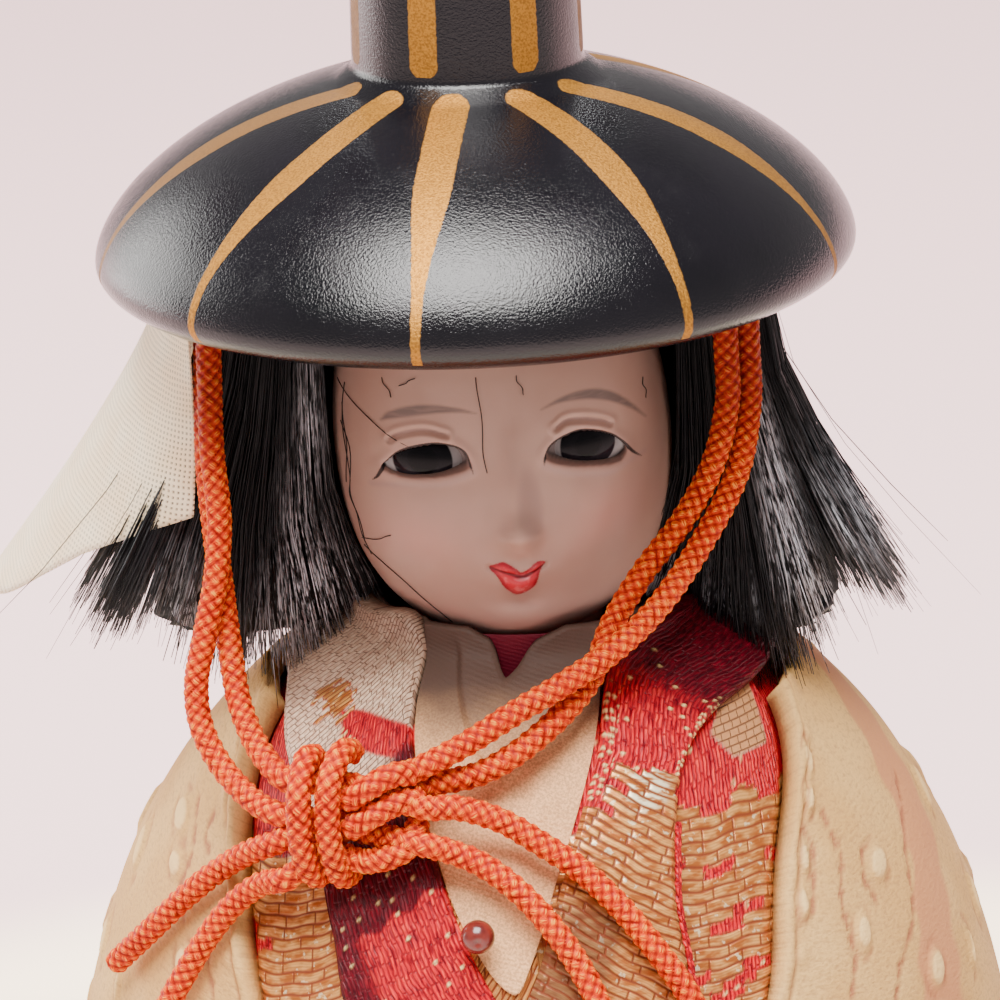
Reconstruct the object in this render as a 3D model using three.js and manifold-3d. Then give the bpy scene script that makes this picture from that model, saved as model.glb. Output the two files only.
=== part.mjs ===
// A hime daruma doll in a round lacquer travelling hat, sitting on a low lacquer plinth.
// Millimetres, +Z up. The origin is the middle of the plinth's underside, the doll faces -Y,
// and angles are in degrees round the body's axis, from the front, growing towards +X.
import * as THREE from 'three';
import { mergeVertices } from 'three/addons/utils/BufferGeometryUtils.js';
import Module from 'manifold-3d';

const wasm = await Module();
wasm.setup();

// Clearance between pieces that touch.
const GAP = 0.3;

// Plinth.
const PLINTH_RADIUS = 28;
const PLINTH_HEIGHT = 6;
const PLINTH_ROUND = 1.6;

// Body: two half ellipsoids that meet at the belly, a little flatter from front to back.
const BODY_RADIUS = 29.2;
const BODY_DEPTH = 0.92;
const BELLY_Z = 24;
const BODY_RISE = 38.4;
const BODY_DROP = 24.9;
const BODY_FOOT_Z = PLINTH_HEIGHT + GAP;
const BODY_TOP_Z = 57.2;
const BODY_LAYER = 2.1;

// Thickness of the clothes, measured inwards from the body's outline.
const ROBE_INSIDE = 1.5;
const ROBE_OUTSIDE = 0;
const ROBE_HEM_Z = 7.4;
const ROBE_TOP_Z = 56.1;
const BAND_OUTSIDE = 0.1;
const UNDER_ROBE_OUTSIDE = 0.6;
const COLLAR_RADIUS = 10.6;
const RED_COLLAR = { radius: 8.7, foot: 57.5, top: 60.3, dip: 0.4, thickness: 0.5 };
const BEAD = { radius: 0.95, x: -3.75, y: -21.75, z: 47.9 };

// Head, turned and tipped a little on its neck.
const HEAD = { x: -1.1, y: 0, z: 70.2 };
const HEAD_HALF_WIDTH = 9.9;
const HEAD_HALF_DEPTH = 10.3;
const HEAD_RISE = 14.2;
const HEAD_DROP = 11;
const CHEEK_FULLNESS = 0.55;
const SKULL_FULLNESS = 0.8;
const JAW_TAPER = 0.21;
const HEAD_TURN = 2;
const HEAD_TIP = -3;
const NECK = { radius: 5, height: 7, back: 0.4 };
// How far the head's columns crowd towards the face.
const FACE_CROWDING = 0.075;
const EYE = { x: 4.9, y: -7.5, z: 1.35 };
const EYE_HALF = { x: 2.75, y: 1.35, z: 1.2 };
const EYE_TURN = 25;

// Hat: its axis stands a little to the left of the body's.
const HAT_X = -2.2;
const RIM_Z = 82;
const RIM_RADIUS = 21.9;
const BRIM_DOME = 10.8;
const LIP_RADIUS = 18.6;
const LIP_DROP = 1.8;
// Outlines of the hat's hollow, from the axis outwards, and of its crown, upwards:
// each row is a radius and a height above the rim.
const HOLLOW = [[0, 5], [10, 4.6], [15.4, 2.4], [18.3, 0]];
const CROWN_RADIUS = 6.6;
const CROWN = [[CROWN_RADIUS, 10.1], [6.5, 15], [6.2, 20.2], [5.2, 22.2], [3, 22.9], [0, 23]];

// Veil: a gauze curtain that hangs inside the lip of the hat.
const VEIL_TOP = { radius: 17.85, z: 80.9 };
const VEIL_THICKNESS = 0.5;
const VEIL_FRONT_LEFT = -74;
const VEIL_FRONT_RIGHT = 118;
// The front edges slant: how far each turns from its hem to its top, and over how wide a part.
const VEIL_LEFT_SLANT = 6;
const VEIL_RIGHT_SLANT = -20;
const VEIL_SLANTED_PART = 30;

// Cords.
const CORD_DIAMETER = 1.5;
const CORD_SIDES = 8;

const colours = {
  lacquer: new THREE.MeshStandardMaterial({ color: 0x1c191d, roughness: 0.3, metalness: 0 }),
  skin: new THREE.MeshStandardMaterial({ color: 0xe2c3b4, roughness: 0.55, metalness: 0 }),
  glass: new THREE.MeshStandardMaterial({ color: 0x1a1c20, roughness: 0.05, metalness: 0 }),
  hair: new THREE.MeshStandardMaterial({ color: 0x0b0c10, roughness: 0.4, metalness: 0 }),
  gauze: new THREE.MeshStandardMaterial({ color: 0xe9dfcf, roughness: 0.9, metalness: 0 }),
  cord: new THREE.MeshStandardMaterial({ color: 0xd9602b, roughness: 0.6, metalness: 0 }),
  brocade: new THREE.MeshStandardMaterial({ color: 0xb23a35, roughness: 0.5, metalness: 0.2 }),
  cream: new THREE.MeshStandardMaterial({ color: 0xe0c9a6, roughness: 0.8, metalness: 0 }),
  silk: new THREE.MeshStandardMaterial({ color: 0xe6d3b8, roughness: 0.6, metalness: 0 }),
  red: new THREE.MeshStandardMaterial({ color: 0x8c1526, roughness: 0.7, metalness: 0 }),
  bead: new THREE.MeshStandardMaterial({ color: 0x8c3a2b, roughness: 0.3, metalness: 0 }),
};

const radians = THREE.MathUtils.degToRad;
const { lerp, smoothstep } = THREE.MathUtils;
const part = new THREE.Group();

function add(name, geometry, material) {
  const piece = new THREE.Mesh(geometry, material);
  piece.name = name;
  part.add(piece);
  return piece;
}

// A smooth curve of values over t from 0 to 1, through evenly spaced stations.
function curveThrough(stations) {
  const width = stations[0].length;
  const steps = stations.map((_, i) => i / (stations.length - 1));
  const curve = new THREE.CubicInterpolant(steps, stations.flat(), width);
  return (t) => Array.from(curve.evaluate(Math.min(Math.max(t, 0), 1)));
}

// A value that depends on a height or an angle, through [place, value] pairs in rising order.
function valueAt(pairs) {
  const curve = new THREE.CubicInterpolant(pairs.map((p) => p[0]), pairs.map((p) => p[1]), 1);
  const [low, high] = [pairs[0][0], pairs.at(-1)[0]];
  return (place) => curve.evaluate(Math.min(Math.max(place, low), high))[0];
}

// Heights from low to high that crowd together towards the top, where the body curves most.
function rising(low, high, t) {
  return lerp(low, high, 0.5 * t + 0.5 * Math.sin((t * Math.PI) / 2));
}

// A closed solid between two surfaces of (u, v). With ring set, u runs all the way round.
function between(outer, inner, uSteps, vSteps, ring = false) {
  const columns = ring ? uSteps : uSteps + 1;
  const rows = vSteps + 1;
  const positions = [];
  for (const surface of [outer, inner]) {
    for (let j = 0; j < rows; j++) {
      for (let i = 0; i < columns; i++) {
        positions.push(...surface(i / uSteps, j / vSteps));
      }
    }
  }
  const faces = [];
  const quad = (a, b, c, d) => faces.push(a, b, c, a, c, d);
  const at = (side, i, j) => side * rows * columns + j * columns + (i % columns);
  for (let i = 0; i < uSteps; i++) {
    for (let j = 0; j < vSteps; j++) {
      quad(at(0, i, j), at(0, i + 1, j), at(0, i + 1, j + 1), at(0, i, j + 1));
      quad(at(1, i, j), at(1, i, j + 1), at(1, i + 1, j + 1), at(1, i + 1, j));
    }
    quad(at(0, i + 1, 0), at(0, i, 0), at(1, i, 0), at(1, i + 1, 0));
    quad(at(0, i, vSteps), at(0, i + 1, vSteps), at(1, i + 1, vSteps), at(1, i, vSteps));
  }
  for (let j = 0; j < vSteps && !ring; j++) {
    quad(at(0, 0, j), at(0, 0, j + 1), at(1, 0, j + 1), at(1, 0, j));
    quad(at(0, uSteps, j + 1), at(0, uSteps, j), at(1, uSteps, j), at(1, uSteps, j + 1));
  }
  return facingOut(positions, faces);
}

// Turns every face over if the closed mesh encloses a negative volume.
function facingOut(positions, faces) {
  const point = (i) => new THREE.Vector3().fromArray(positions, 3 * i);
  let volume = 0;
  for (let i = 0; i < faces.length; i += 3) {
    volume += point(faces[i]).dot(point(faces[i + 1]).cross(point(faces[i + 2])));
  }
  if (volume < 0) {
    faces.reverse();
  }
  const geometry = new THREE.BufferGeometry();
  geometry.setAttribute('position', new THREE.Float32BufferAttribute(positions, 3));
  geometry.setIndex(faces);
  geometry.computeVertexNormals();
  return geometry;
}

// A cloth of even thickness: the surface moved along its normal to two depths.
function cloth(surface, outside, inside, uSteps, vSteps, ring = false) {
  const step = 1e-3;
  const moved = (depth) => (u, v) => {
    const at = (du, dv) => new THREE.Vector3(...surface(u + du, v + dv));
    const here = at(0, 0);
    const alongU = at(step, 0).sub(at(-step, 0));
    const alongV = at(0, step).sub(at(0, -step));
    const normal = alongU.cross(alongV).normalize();
    if (normal.x * here.x + normal.y * here.y < 0) {
      normal.negate();
    }
    return here.addScaledVector(normal, -depth).toArray();
  };
  return between(moved(outside), moved(inside), uSteps, vSteps, ring);
}

function bodyRadius(z, layer = 0) {
  const reach = (z > BELLY_Z ? BODY_RISE : BODY_DROP) - layer;
  return (BODY_RADIUS - layer) * Math.sqrt(Math.max(1 - ((z - BELLY_Z) / reach) ** 2, 0));
}

function onBody(angle, z) {
  const radius = Math.max(bodyRadius(z), COLLAR_RADIUS);
  return [radius * Math.sin(radians(angle)), -BODY_DEPTH * radius * Math.cos(radians(angle)), z];
}

// A robe or collar that lies on the body between two edge lines of [angle, height].
function onBodyBetween(firstEdge, secondEdge) {
  return (u, v) => {
    const [angleA, heightA] = firstEdge(u);
    const [angleB, heightB] = secondEdge(u);
    return onBody(lerp(angleA, angleB, v), lerp(heightA, heightB, v));
  };
}

function solidOf(geometry) {
  const bare = geometry.clone();
  bare.deleteAttribute('normal');
  bare.deleteAttribute('uv');
  const merged = mergeVertices(bare, 1e-5);
  return new wasm.Manifold(new wasm.Mesh({
    numProp: 3,
    vertProperties: new Float32Array(merged.attributes.position.array),
    triVerts: new Uint32Array(merged.index.array),
  }));
}

function geometryOf(solid) {
  const mesh = solid.getMesh();
  const geometry = new THREE.BufferGeometry();
  geometry.setAttribute('position', new THREE.BufferAttribute(mesh.vertProperties, 3));
  geometry.setIndex(new THREE.BufferAttribute(mesh.triVerts, 1));
  geometry.computeVertexNormals();
  return geometry;
}

// A profile of [radius, height] turned round the vertical axis.
function turned(profile, sides) {
  const points = profile.map(([radius, height]) => new THREE.Vector2(radius, height));
  return new THREE.LatheGeometry(points, sides).rotateX(Math.PI / 2);
}

function makePlinth() {
  const arc = (height, from) => [0, 45, 90].map((step) => [
    PLINTH_RADIUS - PLINTH_ROUND + PLINTH_ROUND * Math.cos(radians(from + step)),
    height + PLINTH_ROUND * Math.sin(radians(from + step)),
  ]);
  const edge = [...arc(PLINTH_ROUND, -90), ...arc(PLINTH_HEIGHT - PLINTH_ROUND, 0)];
  add('plinth', turned([[0, 0], ...edge, [0, PLINTH_HEIGHT]], 36), colours.lacquer);
}

function makeBody() {
  const steps = 11;
  const side = Array.from({ length: steps + 1 }, (_, i) => {
    const z = rising(BODY_FOOT_Z, BODY_TOP_Z, i / steps);
    return [bodyRadius(z, BODY_LAYER), z];
  });
  const geometry = turned([[0, BODY_FOOT_Z], ...side, [0, BODY_TOP_Z]], 30);
  geometry.scale(1, BODY_DEPTH, 1);
  add('brocade_robe', geometry, colours.brocade);
}

// The outer robe wraps the body and opens in a V at the front.
// Its two front edges, as heights with their angles.
const ROBE_RIGHT_EDGE = [[7, -3], [20, -3], [30, 12], [36, 22.5], [43, 31], [50, 41.5], [57, 68]];
const ROBE_LEFT_EDGE = [[7, -5], [20, -5], [30, -23], [36, -33], [43, -42], [50, -55], [57, -77]];

function makeOuterRobe() {
  const rightEdge = valueAt(ROBE_RIGHT_EDGE);
  const leftEdge = valueAt(ROBE_LEFT_EDGE);
  const surface = (u, v) => {
    const z = rising(ROBE_HEM_Z, ROBE_TOP_Z, v);
    return onBody(lerp(rightEdge(z), leftEdge(z) + 360, u), z);
  };
  add('outer_robe', cloth(surface, ROBE_OUTSIDE, ROBE_INSIDE, 28, 10), colours.cream);
}

// Each collar band runs from the nape over one shoulder and down the chest.
// Its stations are the angle and height of the inner edge, then of the outer edge.
const RIGHT_BAND = [
  [178, 59.5, 178, 57], [108, 59.5, 108, 57], [58, 59.6, 66, 57], [23, 58.8, 41, 56.2],
  [11.4, 55.4, 27, 54.2], [3.6, 50.6, 20, 49.2], [-2.4, 44.6, 18, 42.4], [-12, 37.6, 6, 33],
  [-23.4, 32.2, -8.6, 24.6],
];
const LEFT_BAND = [
  [-178, 59.5, -178, 57], [-110, 59.5, -110, 57], [-62, 59.6, -76, 57], [-39, 59.2, -54, 54.2],
  [-27, 56, -40, 51.4], [-17.5, 51.4, -31.5, 47.2], [-11, 47, -26, 42.6], [-5.4, 43.4, -15.2, 37.6],
];

function makeCollarBands() {
  for (const [name, stations] of [['collar_band_right', RIGHT_BAND], ['collar_band_left', LEFT_BAND]]) {
    const edges = curveThrough(stations);
    const surface = onBodyBetween((u) => edges(u).slice(0, 2), (u) => edges(u).slice(2));
    add(name, cloth(surface, BAND_OUTSIDE, ROBE_INSIDE, 22, 2), colours.brocade);
  }
}

// The white under-robe stands up round the neck and fills the V between the collar bands.
// Its two edges, as angles with their heights.
const UNDER_ROBE_TOP = [
  [-180, 61.6], [-60, 61.8], [-35, 61.3], [-9, 59.2], [18, 61.3], [45, 61.8], [180, 61.6],
];
const UNDER_ROBE_BOTTOM = [
  [-180, 60.4], [-60, 60.5], [-42, 60.2], [-31, 57.8], [-19.5, 52.8], [-11.5, 47.8], [-4.4, 44.6],
  [-1.6, 46.6], [2.6, 50.6], [9.6, 55], [20, 58.8], [32, 60.4], [180, 60.4],
];

function makeUnderRobe() {
  const top = valueAt(UNDER_ROBE_TOP);
  const bottom = valueAt(UNDER_ROBE_BOTTOM);
  const surface = (u, v) => {
    const angle = lerp(-180, 180, u) + 2;
    const turn = angle > 180 ? angle - 360 : angle;
    return onBody(turn, lerp(bottom(turn), top(turn), v));
  };
  add('under_robe', cloth(surface, UNDER_ROBE_OUTSIDE, ROBE_INSIDE, 44, 2, true), colours.silk);
}

function makeRedCollar() {
  const { radius, foot, top, dip, thickness } = RED_COLLAR;
  const surface = (u, v) => {
    const angle = radians(360 * u);
    const height = lerp(foot, top - dip * Math.max(Math.cos(angle), 0), v);
    return [radius * Math.sin(angle), -BODY_DEPTH * radius * Math.cos(angle), height];
  };
  add('red_collar', cloth(surface, 0, thickness, 24, 1, true), colours.red);
}

function makeBead() {
  const geometry = new THREE.SphereGeometry(BEAD.radius, 8, 6);
  add('bead', geometry, colours.bead).position.set(BEAD.x, BEAD.y, BEAD.z);
}

// Soft rises and hollows of the face: place across and up from the head's middle, spread and height.
const FACE_FORMS = [
  { x: 0.1, z: -2.9, wide: 1.1, tall: 1.3, rise: 1.2 },
  { x: 0.1, z: -0.4, wide: 0.9, tall: 2.6, rise: 0.7 },
  { x: 0, z: -5.5, wide: 1.9, tall: 0.9, rise: 0.4 },
  { x: 0, z: -8.8, wide: 2.4, tall: 1.5, rise: 0.4 },
  { x: -EYE.x, z: EYE.z, wide: 2.4, tall: 1.5, rise: -0.4 },
  { x: EYE.x, z: EYE.z, wide: 2.4, tall: 1.5, rise: -0.4 },
];

// A point of the head for an angle from the front and a latitude, both in degrees.
function onHead(angle, latitude) {
  const [turn, lift] = [radians(angle), radians(latitude)];
  const slice = Math.max(Math.cos(lift), 0) ** (lift > 0 ? SKULL_FULLNESS : CHEEK_FULLNESS);
  const jaw = 1 - JAW_TAPER * Math.max(-Math.sin(lift), 0) ** 4;
  const x = HEAD_HALF_WIDTH * slice * jaw * Math.sin(turn);
  const z = (lift > 0 ? HEAD_RISE : HEAD_DROP) * Math.sin(lift);
  let y = -HEAD_HALF_DEPTH * slice * Math.cos(turn);
  if (Math.cos(turn) > 0) {
    for (const form of FACE_FORMS) {
      const away = ((x - form.x) / form.wide) ** 2 + ((z - form.z) / form.tall) ** 2;
      y -= form.rise * Math.exp(-away);
    }
  }
  return [x, y, z];
}

function makeHead() {
  const columns = 24;
  const rows = 18;
  const crowded = (t) => 360 * (t - Math.sin(2 * Math.PI * t) * FACE_CROWDING) - 180;
  const positions = [...onHead(0, -90)];
  for (let j = 1; j < rows; j++) {
    for (let i = 0; i < columns; i++) {
      positions.push(...onHead(crowded(i / columns + 0.5) + 180, lerp(-90, 90, j / rows)));
    }
  }
  positions.push(...onHead(0, 90));
  const faces = [];
  const at = (i, j) => 1 + j * columns + (i % columns);
  for (let i = 0; i < columns; i++) {
    faces.push(0, at(i + 1, 0), at(i, 0));
    for (let j = 0; j < rows - 2; j++) {
      faces.push(at(i, j), at(i + 1, j), at(i + 1, j + 1), at(i, j), at(i + 1, j + 1), at(i, j + 1));
    }
    faces.push(at(i, rows - 2), at(i + 1, rows - 2), (rows - 1) * columns + 1);
  }
  let head = solidOf(facingOut(positions, faces));
  for (const side of [-1, 1]) {
    head = head.subtract(solidOf(eyeball(side, GAP)));
  }
  const pose = headPose();
  const posed = geometryOf(head).applyMatrix4(pose);
  const neckFoot = BODY_TOP_Z + GAP;
  const neckSide = [[0, 0], [NECK.radius, 0], [NECK.radius, NECK.height], [0, NECK.height]];
  const neck = turned(neckSide, 20).translate(HEAD.x / 2, NECK.back, neckFoot);
  add('head', geometryOf(solidOf(posed).add(solidOf(neck))), colours.skin);
}

function headPose() {
  const turn = new THREE.Euler(0, radians(HEAD_TIP), radians(HEAD_TURN), 'ZYX');
  const pose = new THREE.Matrix4().makeRotationFromEuler(turn);
  return pose.setPosition(HEAD.x, HEAD.y, HEAD.z);
}

function eyeball(side, extra = 0) {
  const geometry = new THREE.SphereGeometry(1, 12, 8);
  geometry.scale(EYE_HALF.x + extra, EYE_HALF.y + extra, EYE_HALF.z + extra);
  return geometry.rotateZ(radians(side * EYE_TURN)).translate(side * EYE.x, EYE.y, EYE.z);
}

function makeEyes() {
  add('eye_left', eyeball(-1).applyMatrix4(headPose()), colours.glass);
  add('eye_right', eyeball(1).applyMatrix4(headPose()), colours.glass);
}

// The wig is open at the front and ends in a blunt, slanting cut.
// Each row of its two outlines is a radius and a height, downwards.
const HAIR_OUTSIDE = [
  [3, 86.2], [10.5, 85.4], [14, 82.4], [15.6, 79], [17, 74.5], [19.6, 69.5], [22.2, 65], [24.6, 61],
];
const HAIR_INSIDE = [
  [3, 85.2], [7, 84], [9.4, 81.5], [10.5, 78], [10.5, 73.5], [10.5, 68.5], [12.4, 63.5], [15.4, 58.6],
];

function makeHair() {
  const outside = curveThrough(HAIR_OUTSIDE);
  const inside = curveThrough(HAIR_INSIDE);
  const round = (profile, middle) => (u, v) => {
    const opening = lerp(84, 72, smoothstep(v, 0.3, 1));
    const angle = radians(lerp(opening, 360 - opening, u));
    const [radius, z] = profile(v);
    return [middle + radius * Math.sin(angle), -radius * Math.cos(angle), z];
  };
  add('hair', between(round(outside, HAT_X), round(inside, HEAD.x), 22, 8), colours.hair);
}

function makeHat() {
  const quarter = (steps, make) => (
    Array.from({ length: steps + 1 }, (_, i) => make(radians((90 * i) / steps)))
  );
  const aboveRim = ([radius, height]) => [radius, RIM_Z + height];
  const lip = quarter(4, (a) => [
    lerp(LIP_RADIUS, RIM_RADIUS, Math.sin(a) ** 0.9),
    RIM_Z - LIP_DROP * Math.cos(a) ** 0.9,
  ]);
  const dome = quarter(9, (a) => [
    RIM_RADIUS * Math.max(Math.cos(a), 0) ** (2 / 1.8),
    RIM_Z + BRIM_DOME * Math.sin(a) ** (2 / 1.65),
  ]).filter(([radius]) => radius > CROWN_RADIUS && radius < RIM_RADIUS);
  const hat = turned([...HOLLOW.map(aboveRim), ...lip, ...dome, ...CROWN.map(aboveRim)], 34);
  add('hat', hat, colours.lacquer).position.x = HAT_X;
}

// The curtain spreads over the hair at the sides and back.
// Its hem's radius and its drop, by the angle round the hat.
const VEIL_HEM = [
  [-242, 32.5], [-215, 31], [-180, 29], [-145, 31.5], [-115, 33], [-98, 30], [-88, 25.6], [-74, 20.8],
];
const VEIL_DROP = [
  [-242, 23.8], [-215, 21.6], [-180, 20.4], [-145, 21], [-115, 22.5], [-98, 21], [-88, 17], [-74, 12.2],
];

function makeVeil() {
  const hem = valueAt(VEIL_HEM);
  const drop = valueAt(VEIL_DROP);
  const rightEdge = VEIL_FRONT_RIGHT - 360;
  const surface = (u, v) => {
    const place = lerp(rightEdge, VEIL_FRONT_LEFT, u);
    const nearRight = 1 - smoothstep(place, rightEdge, rightEdge + VEIL_SLANTED_PART);
    const nearLeft = smoothstep(place, VEIL_FRONT_LEFT - VEIL_SLANTED_PART, VEIL_FRONT_LEFT);
    const slant = VEIL_LEFT_SLANT * nearLeft + VEIL_RIGHT_SLANT * nearRight;
    const azimuth = place + (1 - v) * slant;
    const folds = 0.7 * v * v * Math.sin(radians(9 * azimuth));
    const radius = lerp(VEIL_TOP.radius, hem(azimuth), Math.max(v, 0) ** 1.15) + folds;
    const angle = radians(azimuth);
    const height = VEIL_TOP.z - v * drop(azimuth);
    return [HAT_X + radius * Math.sin(angle), -radius * Math.cos(angle), height];
  };
  add('veil', cloth(surface, -VEIL_THICKNESS / 2, VEIL_THICKNESS / 2, 32, 4), colours.gauze);
}

// The four cords come down from inside the hat to the knot, and leave it as four tails.
const CORD_ROUTES = {
  cord_right_inner: [
    [11.6, -7.0, 80.6], [11.7, -7.0, 76.5], [11.7, -7.1, 73.8], [10.8, -7.4, 70.2],
    [8.9, -8.3, 67.1], [6.5, -9.6, 64.5], [4.6, -11.1, 62.0], [3.3, -12.8, 59.6],
    [1.4, -14.9, 58.1], [-1.0, -16.2, 56.6], [-3.3, -16.8, 55.6], [-5.9, -17.1, 55.2],
  ],
  cord_right_outer: [
    [12.9, -5.7, 80.6], [13.0, -5.9, 76.3], [13.0, -6.2, 73.4], [12.2, -7.0, 69.5],
    [9.9, -9.0, 65.9], [7.1, -11.6, 63.0], [4.4, -13.6, 61.3], [1.6, -15.2, 60.1],
    [-1.2, -16.2, 58.9], [-3.8, -17.0, 57.6], [-6.2, -17.6, 56.6],
  ],
  cord_left_inner: [
    [-17.4, -7.8, 80.3], [-17.5, -8.0, 76.8], [-17.6, -8.5, 72.6], [-17.4, -9.1, 68.6],
    [-17.8, -9.8, 65.2], [-18.6, -10.4, 62.0], [-19.2, -10.9, 59.4], [-19.0, -11.6, 57.0],
    [-17.8, -13.1, 55.0], [-16.1, -15.0, 53.8], [-14.6, -16.4, 53.5],
  ],
  cord_left_outer: [
    [-17.6, -6.0, 80.3], [-17.8, -6.3, 76.6], [-18.0, -6.9, 71.6], [-17.8, -7.6, 67.2],
    [-17.5, -8.6, 63.6], [-17.2, -9.9, 60.8], [-16.8, -11.6, 58.6], [-16.0, -13.5, 57.0],
    [-15.0, -15.2, 56.0], [-13.9, -16.4, 55.5],
  ],
  tail_left_upper: [
    [-14.7, -16.7, 52.0], [-16.3, -15.4, 50.9], [-18.0, -13.9, 49.4], [-20.2, -12.7, 47.3],
    [-22.7, -11.4, 44.5], [-25.3, -9.3, 41.3],
  ],
  tail_left_lower: [
    [-14.2, -18.2, 50.4], [-15.8, -16.6, 49.4], [-17.5, -15.6, 47.8], [-19.2, -15.2, 45.6],
    [-20.7, -15.1, 43.2], [-22.0, -15.0, 40.9], [-23.0, -15.0, 38.5], [-23.7, -15.1, 36.0],
  ],
  tail_right_upper: [
    [-6.4, -18.9, 54.6], [-4.6, -18.9, 54.5], [-2.2, -19.1, 53.7], [0.0, -19.6, 52.4],
    [2.1, -20.2, 51.0], [4.1, -21.1, 49.2], [6.1, -22.1, 46.8], [7.8, -22.8, 44.3],
    [8.9, -23.6, 41.6], [9.5, -24.2, 39.1],
  ],
  tail_right_lower: [
    [-6.6, -19.4, 52.6], [-5.0, -19.5, 52.1], [-3.3, -19.9, 51.4], [-1.6, -20.7, 50.3],
    [-0.2, -21.5, 49.0], [1.1, -22.3, 47.4], [2.2, -23.1, 45.6], [3.0, -23.9, 43.8],
    [3.6, -24.7, 41.8], [4.0, -25.3, 40.0],
  ],
};

function makeCords() {
  const section = new THREE.Shape();
  section.absarc(0, 0, CORD_DIAMETER / 2, 0, 2 * Math.PI);
  const ring = new THREE.Shape(section.getPoints(CORD_SIDES).slice(0, CORD_SIDES));
  for (const [name, route] of Object.entries(CORD_ROUTES)) {
    const points = route.map((point) => new THREE.Vector3(...point));
    const extrudePath = new THREE.CatmullRomCurve3(points, false, 'centripetal');
    const steps = Math.round(extrudePath.getLength() / (2.4 * CORD_DIAMETER));
    const geometry = new THREE.ExtrudeGeometry(ring, { steps, bevelEnabled: false, extrudePath });
    add(name, geometry, colours.cord);
  }
}

// The knot: two wraps stand side by side across the crossing strands.
// Each row is the middle of a round lump, its three half sizes and its roll in degrees.
const KNOT_LUMPS = [
  [[-12.2, -17.2, 53.4], [1.5, 1.9, 3.6], 6],
  [[-9.6, -17.8, 54.4], [1.7, 2.0, 3.4], 28],
  [[-10.6, -17.4, 53.6], [3.4, 1.7, 2.2], -8],
  [[-8.4, -18.1, 52.6], [1.6, 1.4, 1.3], 0],
];

function makeKnot() {
  const pad = (x, y, z, sizes, roll) => {
    const geometry = new THREE.SphereGeometry(1, 10, 6).scale(...sizes);
    return geometry.rotateY(radians(roll)).translate(x, y, z);
  };
  const knot = KNOT_LUMPS.map(([place, halves, roll]) => solidOf(pad(...place, halves, roll)))
    .reduce((whole, lump) => whole.add(lump));
  add('cord_knot', geometryOf(knot), colours.cord);
}

makePlinth();
makeBody();
makeOuterRobe();
makeCollarBands();
makeUnderRobe();
makeRedCollar();
makeBead();
makeHead();
makeEyes();
makeHair();
makeHat();
makeVeil();
makeCords();
makeKnot();

export default part;
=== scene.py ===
# %% [markdown]
# # A hime daruma doll in a lacquered travelling hat
#
# The doll is an egg-shaped body in brocade robes on a low plinth. It wears a round black hat
# with gold strokes, a gauze curtain under the brim and four orange cords tied on its chest.
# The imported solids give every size. This script dresses them: each piece is a surface worked
# out with numpy in millimetres, and each finish is a small tree of shader nodes.

import bpy
import numpy as np
from mathutils import Matrix, Vector


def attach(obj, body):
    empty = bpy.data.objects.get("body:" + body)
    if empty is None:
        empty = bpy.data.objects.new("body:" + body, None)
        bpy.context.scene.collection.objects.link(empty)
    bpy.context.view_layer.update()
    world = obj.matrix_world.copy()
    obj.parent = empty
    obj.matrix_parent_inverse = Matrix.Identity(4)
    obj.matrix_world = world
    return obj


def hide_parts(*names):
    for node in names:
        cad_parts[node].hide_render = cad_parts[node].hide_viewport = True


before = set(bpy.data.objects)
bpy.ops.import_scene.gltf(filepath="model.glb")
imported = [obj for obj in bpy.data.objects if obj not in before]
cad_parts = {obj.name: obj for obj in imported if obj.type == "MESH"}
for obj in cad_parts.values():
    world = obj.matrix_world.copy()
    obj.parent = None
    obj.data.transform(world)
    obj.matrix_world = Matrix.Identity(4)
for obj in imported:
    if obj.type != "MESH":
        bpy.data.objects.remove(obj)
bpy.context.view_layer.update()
MM = 0.001

# %% [markdown]
# ## The camera
#
# The photograph was taken close up from a little above, with the camera tilted slightly.
# A long lens from 24 cm away gives the same perspective. The roll is turned about the line
# of sight, so the shift stays at zero.

# %% Camera
CAMERA_PLACE = Vector((-2.2, -231.3, 146.1)) * MM
CAMERA_AIM = Vector((-1.42, 0, 65.93)) * MM
CAMERA_ROLL = np.radians(-2.43)
CAMERA_LENS, SENSOR_WIDTH = 149.4, 36


def make_camera():
    """Looks from the place to the aim, then turns about that line by the roll."""
    forward = (CAMERA_AIM - CAMERA_PLACE).normalized()
    level = forward.cross(Vector((0, 0, 1))).normalized()
    upright = level.cross(forward)
    right = level * np.cos(CAMERA_ROLL) + upright * np.sin(CAMERA_ROLL)
    up = upright * np.cos(CAMERA_ROLL) - level * np.sin(CAMERA_ROLL)
    data = bpy.data.cameras.new("camera")
    data.lens, data.sensor_width = CAMERA_LENS, SENSOR_WIDTH
    data.clip_start, data.clip_end = 0.01, 10
    camera = bpy.data.objects.new("camera", data)
    axes = Matrix((right, up, -forward)).transposed().to_4x4()
    camera.matrix_world = Matrix.Translation(CAMERA_PLACE) @ axes
    bpy.context.collection.objects.link(camera)
    bpy.context.scene.camera = camera
    print("camera:", data.lens, "mm lens,", round((CAMERA_AIM - CAMERA_PLACE).length / MM), "mm away")


make_camera()

# %% [markdown]
# ## Curves and grids
#
# Every form below is a function of two parameters, evaluated on a whole array at once.
# A few named heights or widths are joined by a smooth curve instead of being tabulated.

# %% Curves through named values
def ease(x, low, high):
    """Rises from 0 at low to 1 at high: t squared times (3 - 2t), with t held between 0 and 1."""
    t = np.clip((x - low) / (high - low), 0, 1)
    return t * t * (3 - 2 * t)


def between(first, second, t):
    """The straight mix (1 - t) first + t second."""
    return first + (second - first) * t


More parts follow.
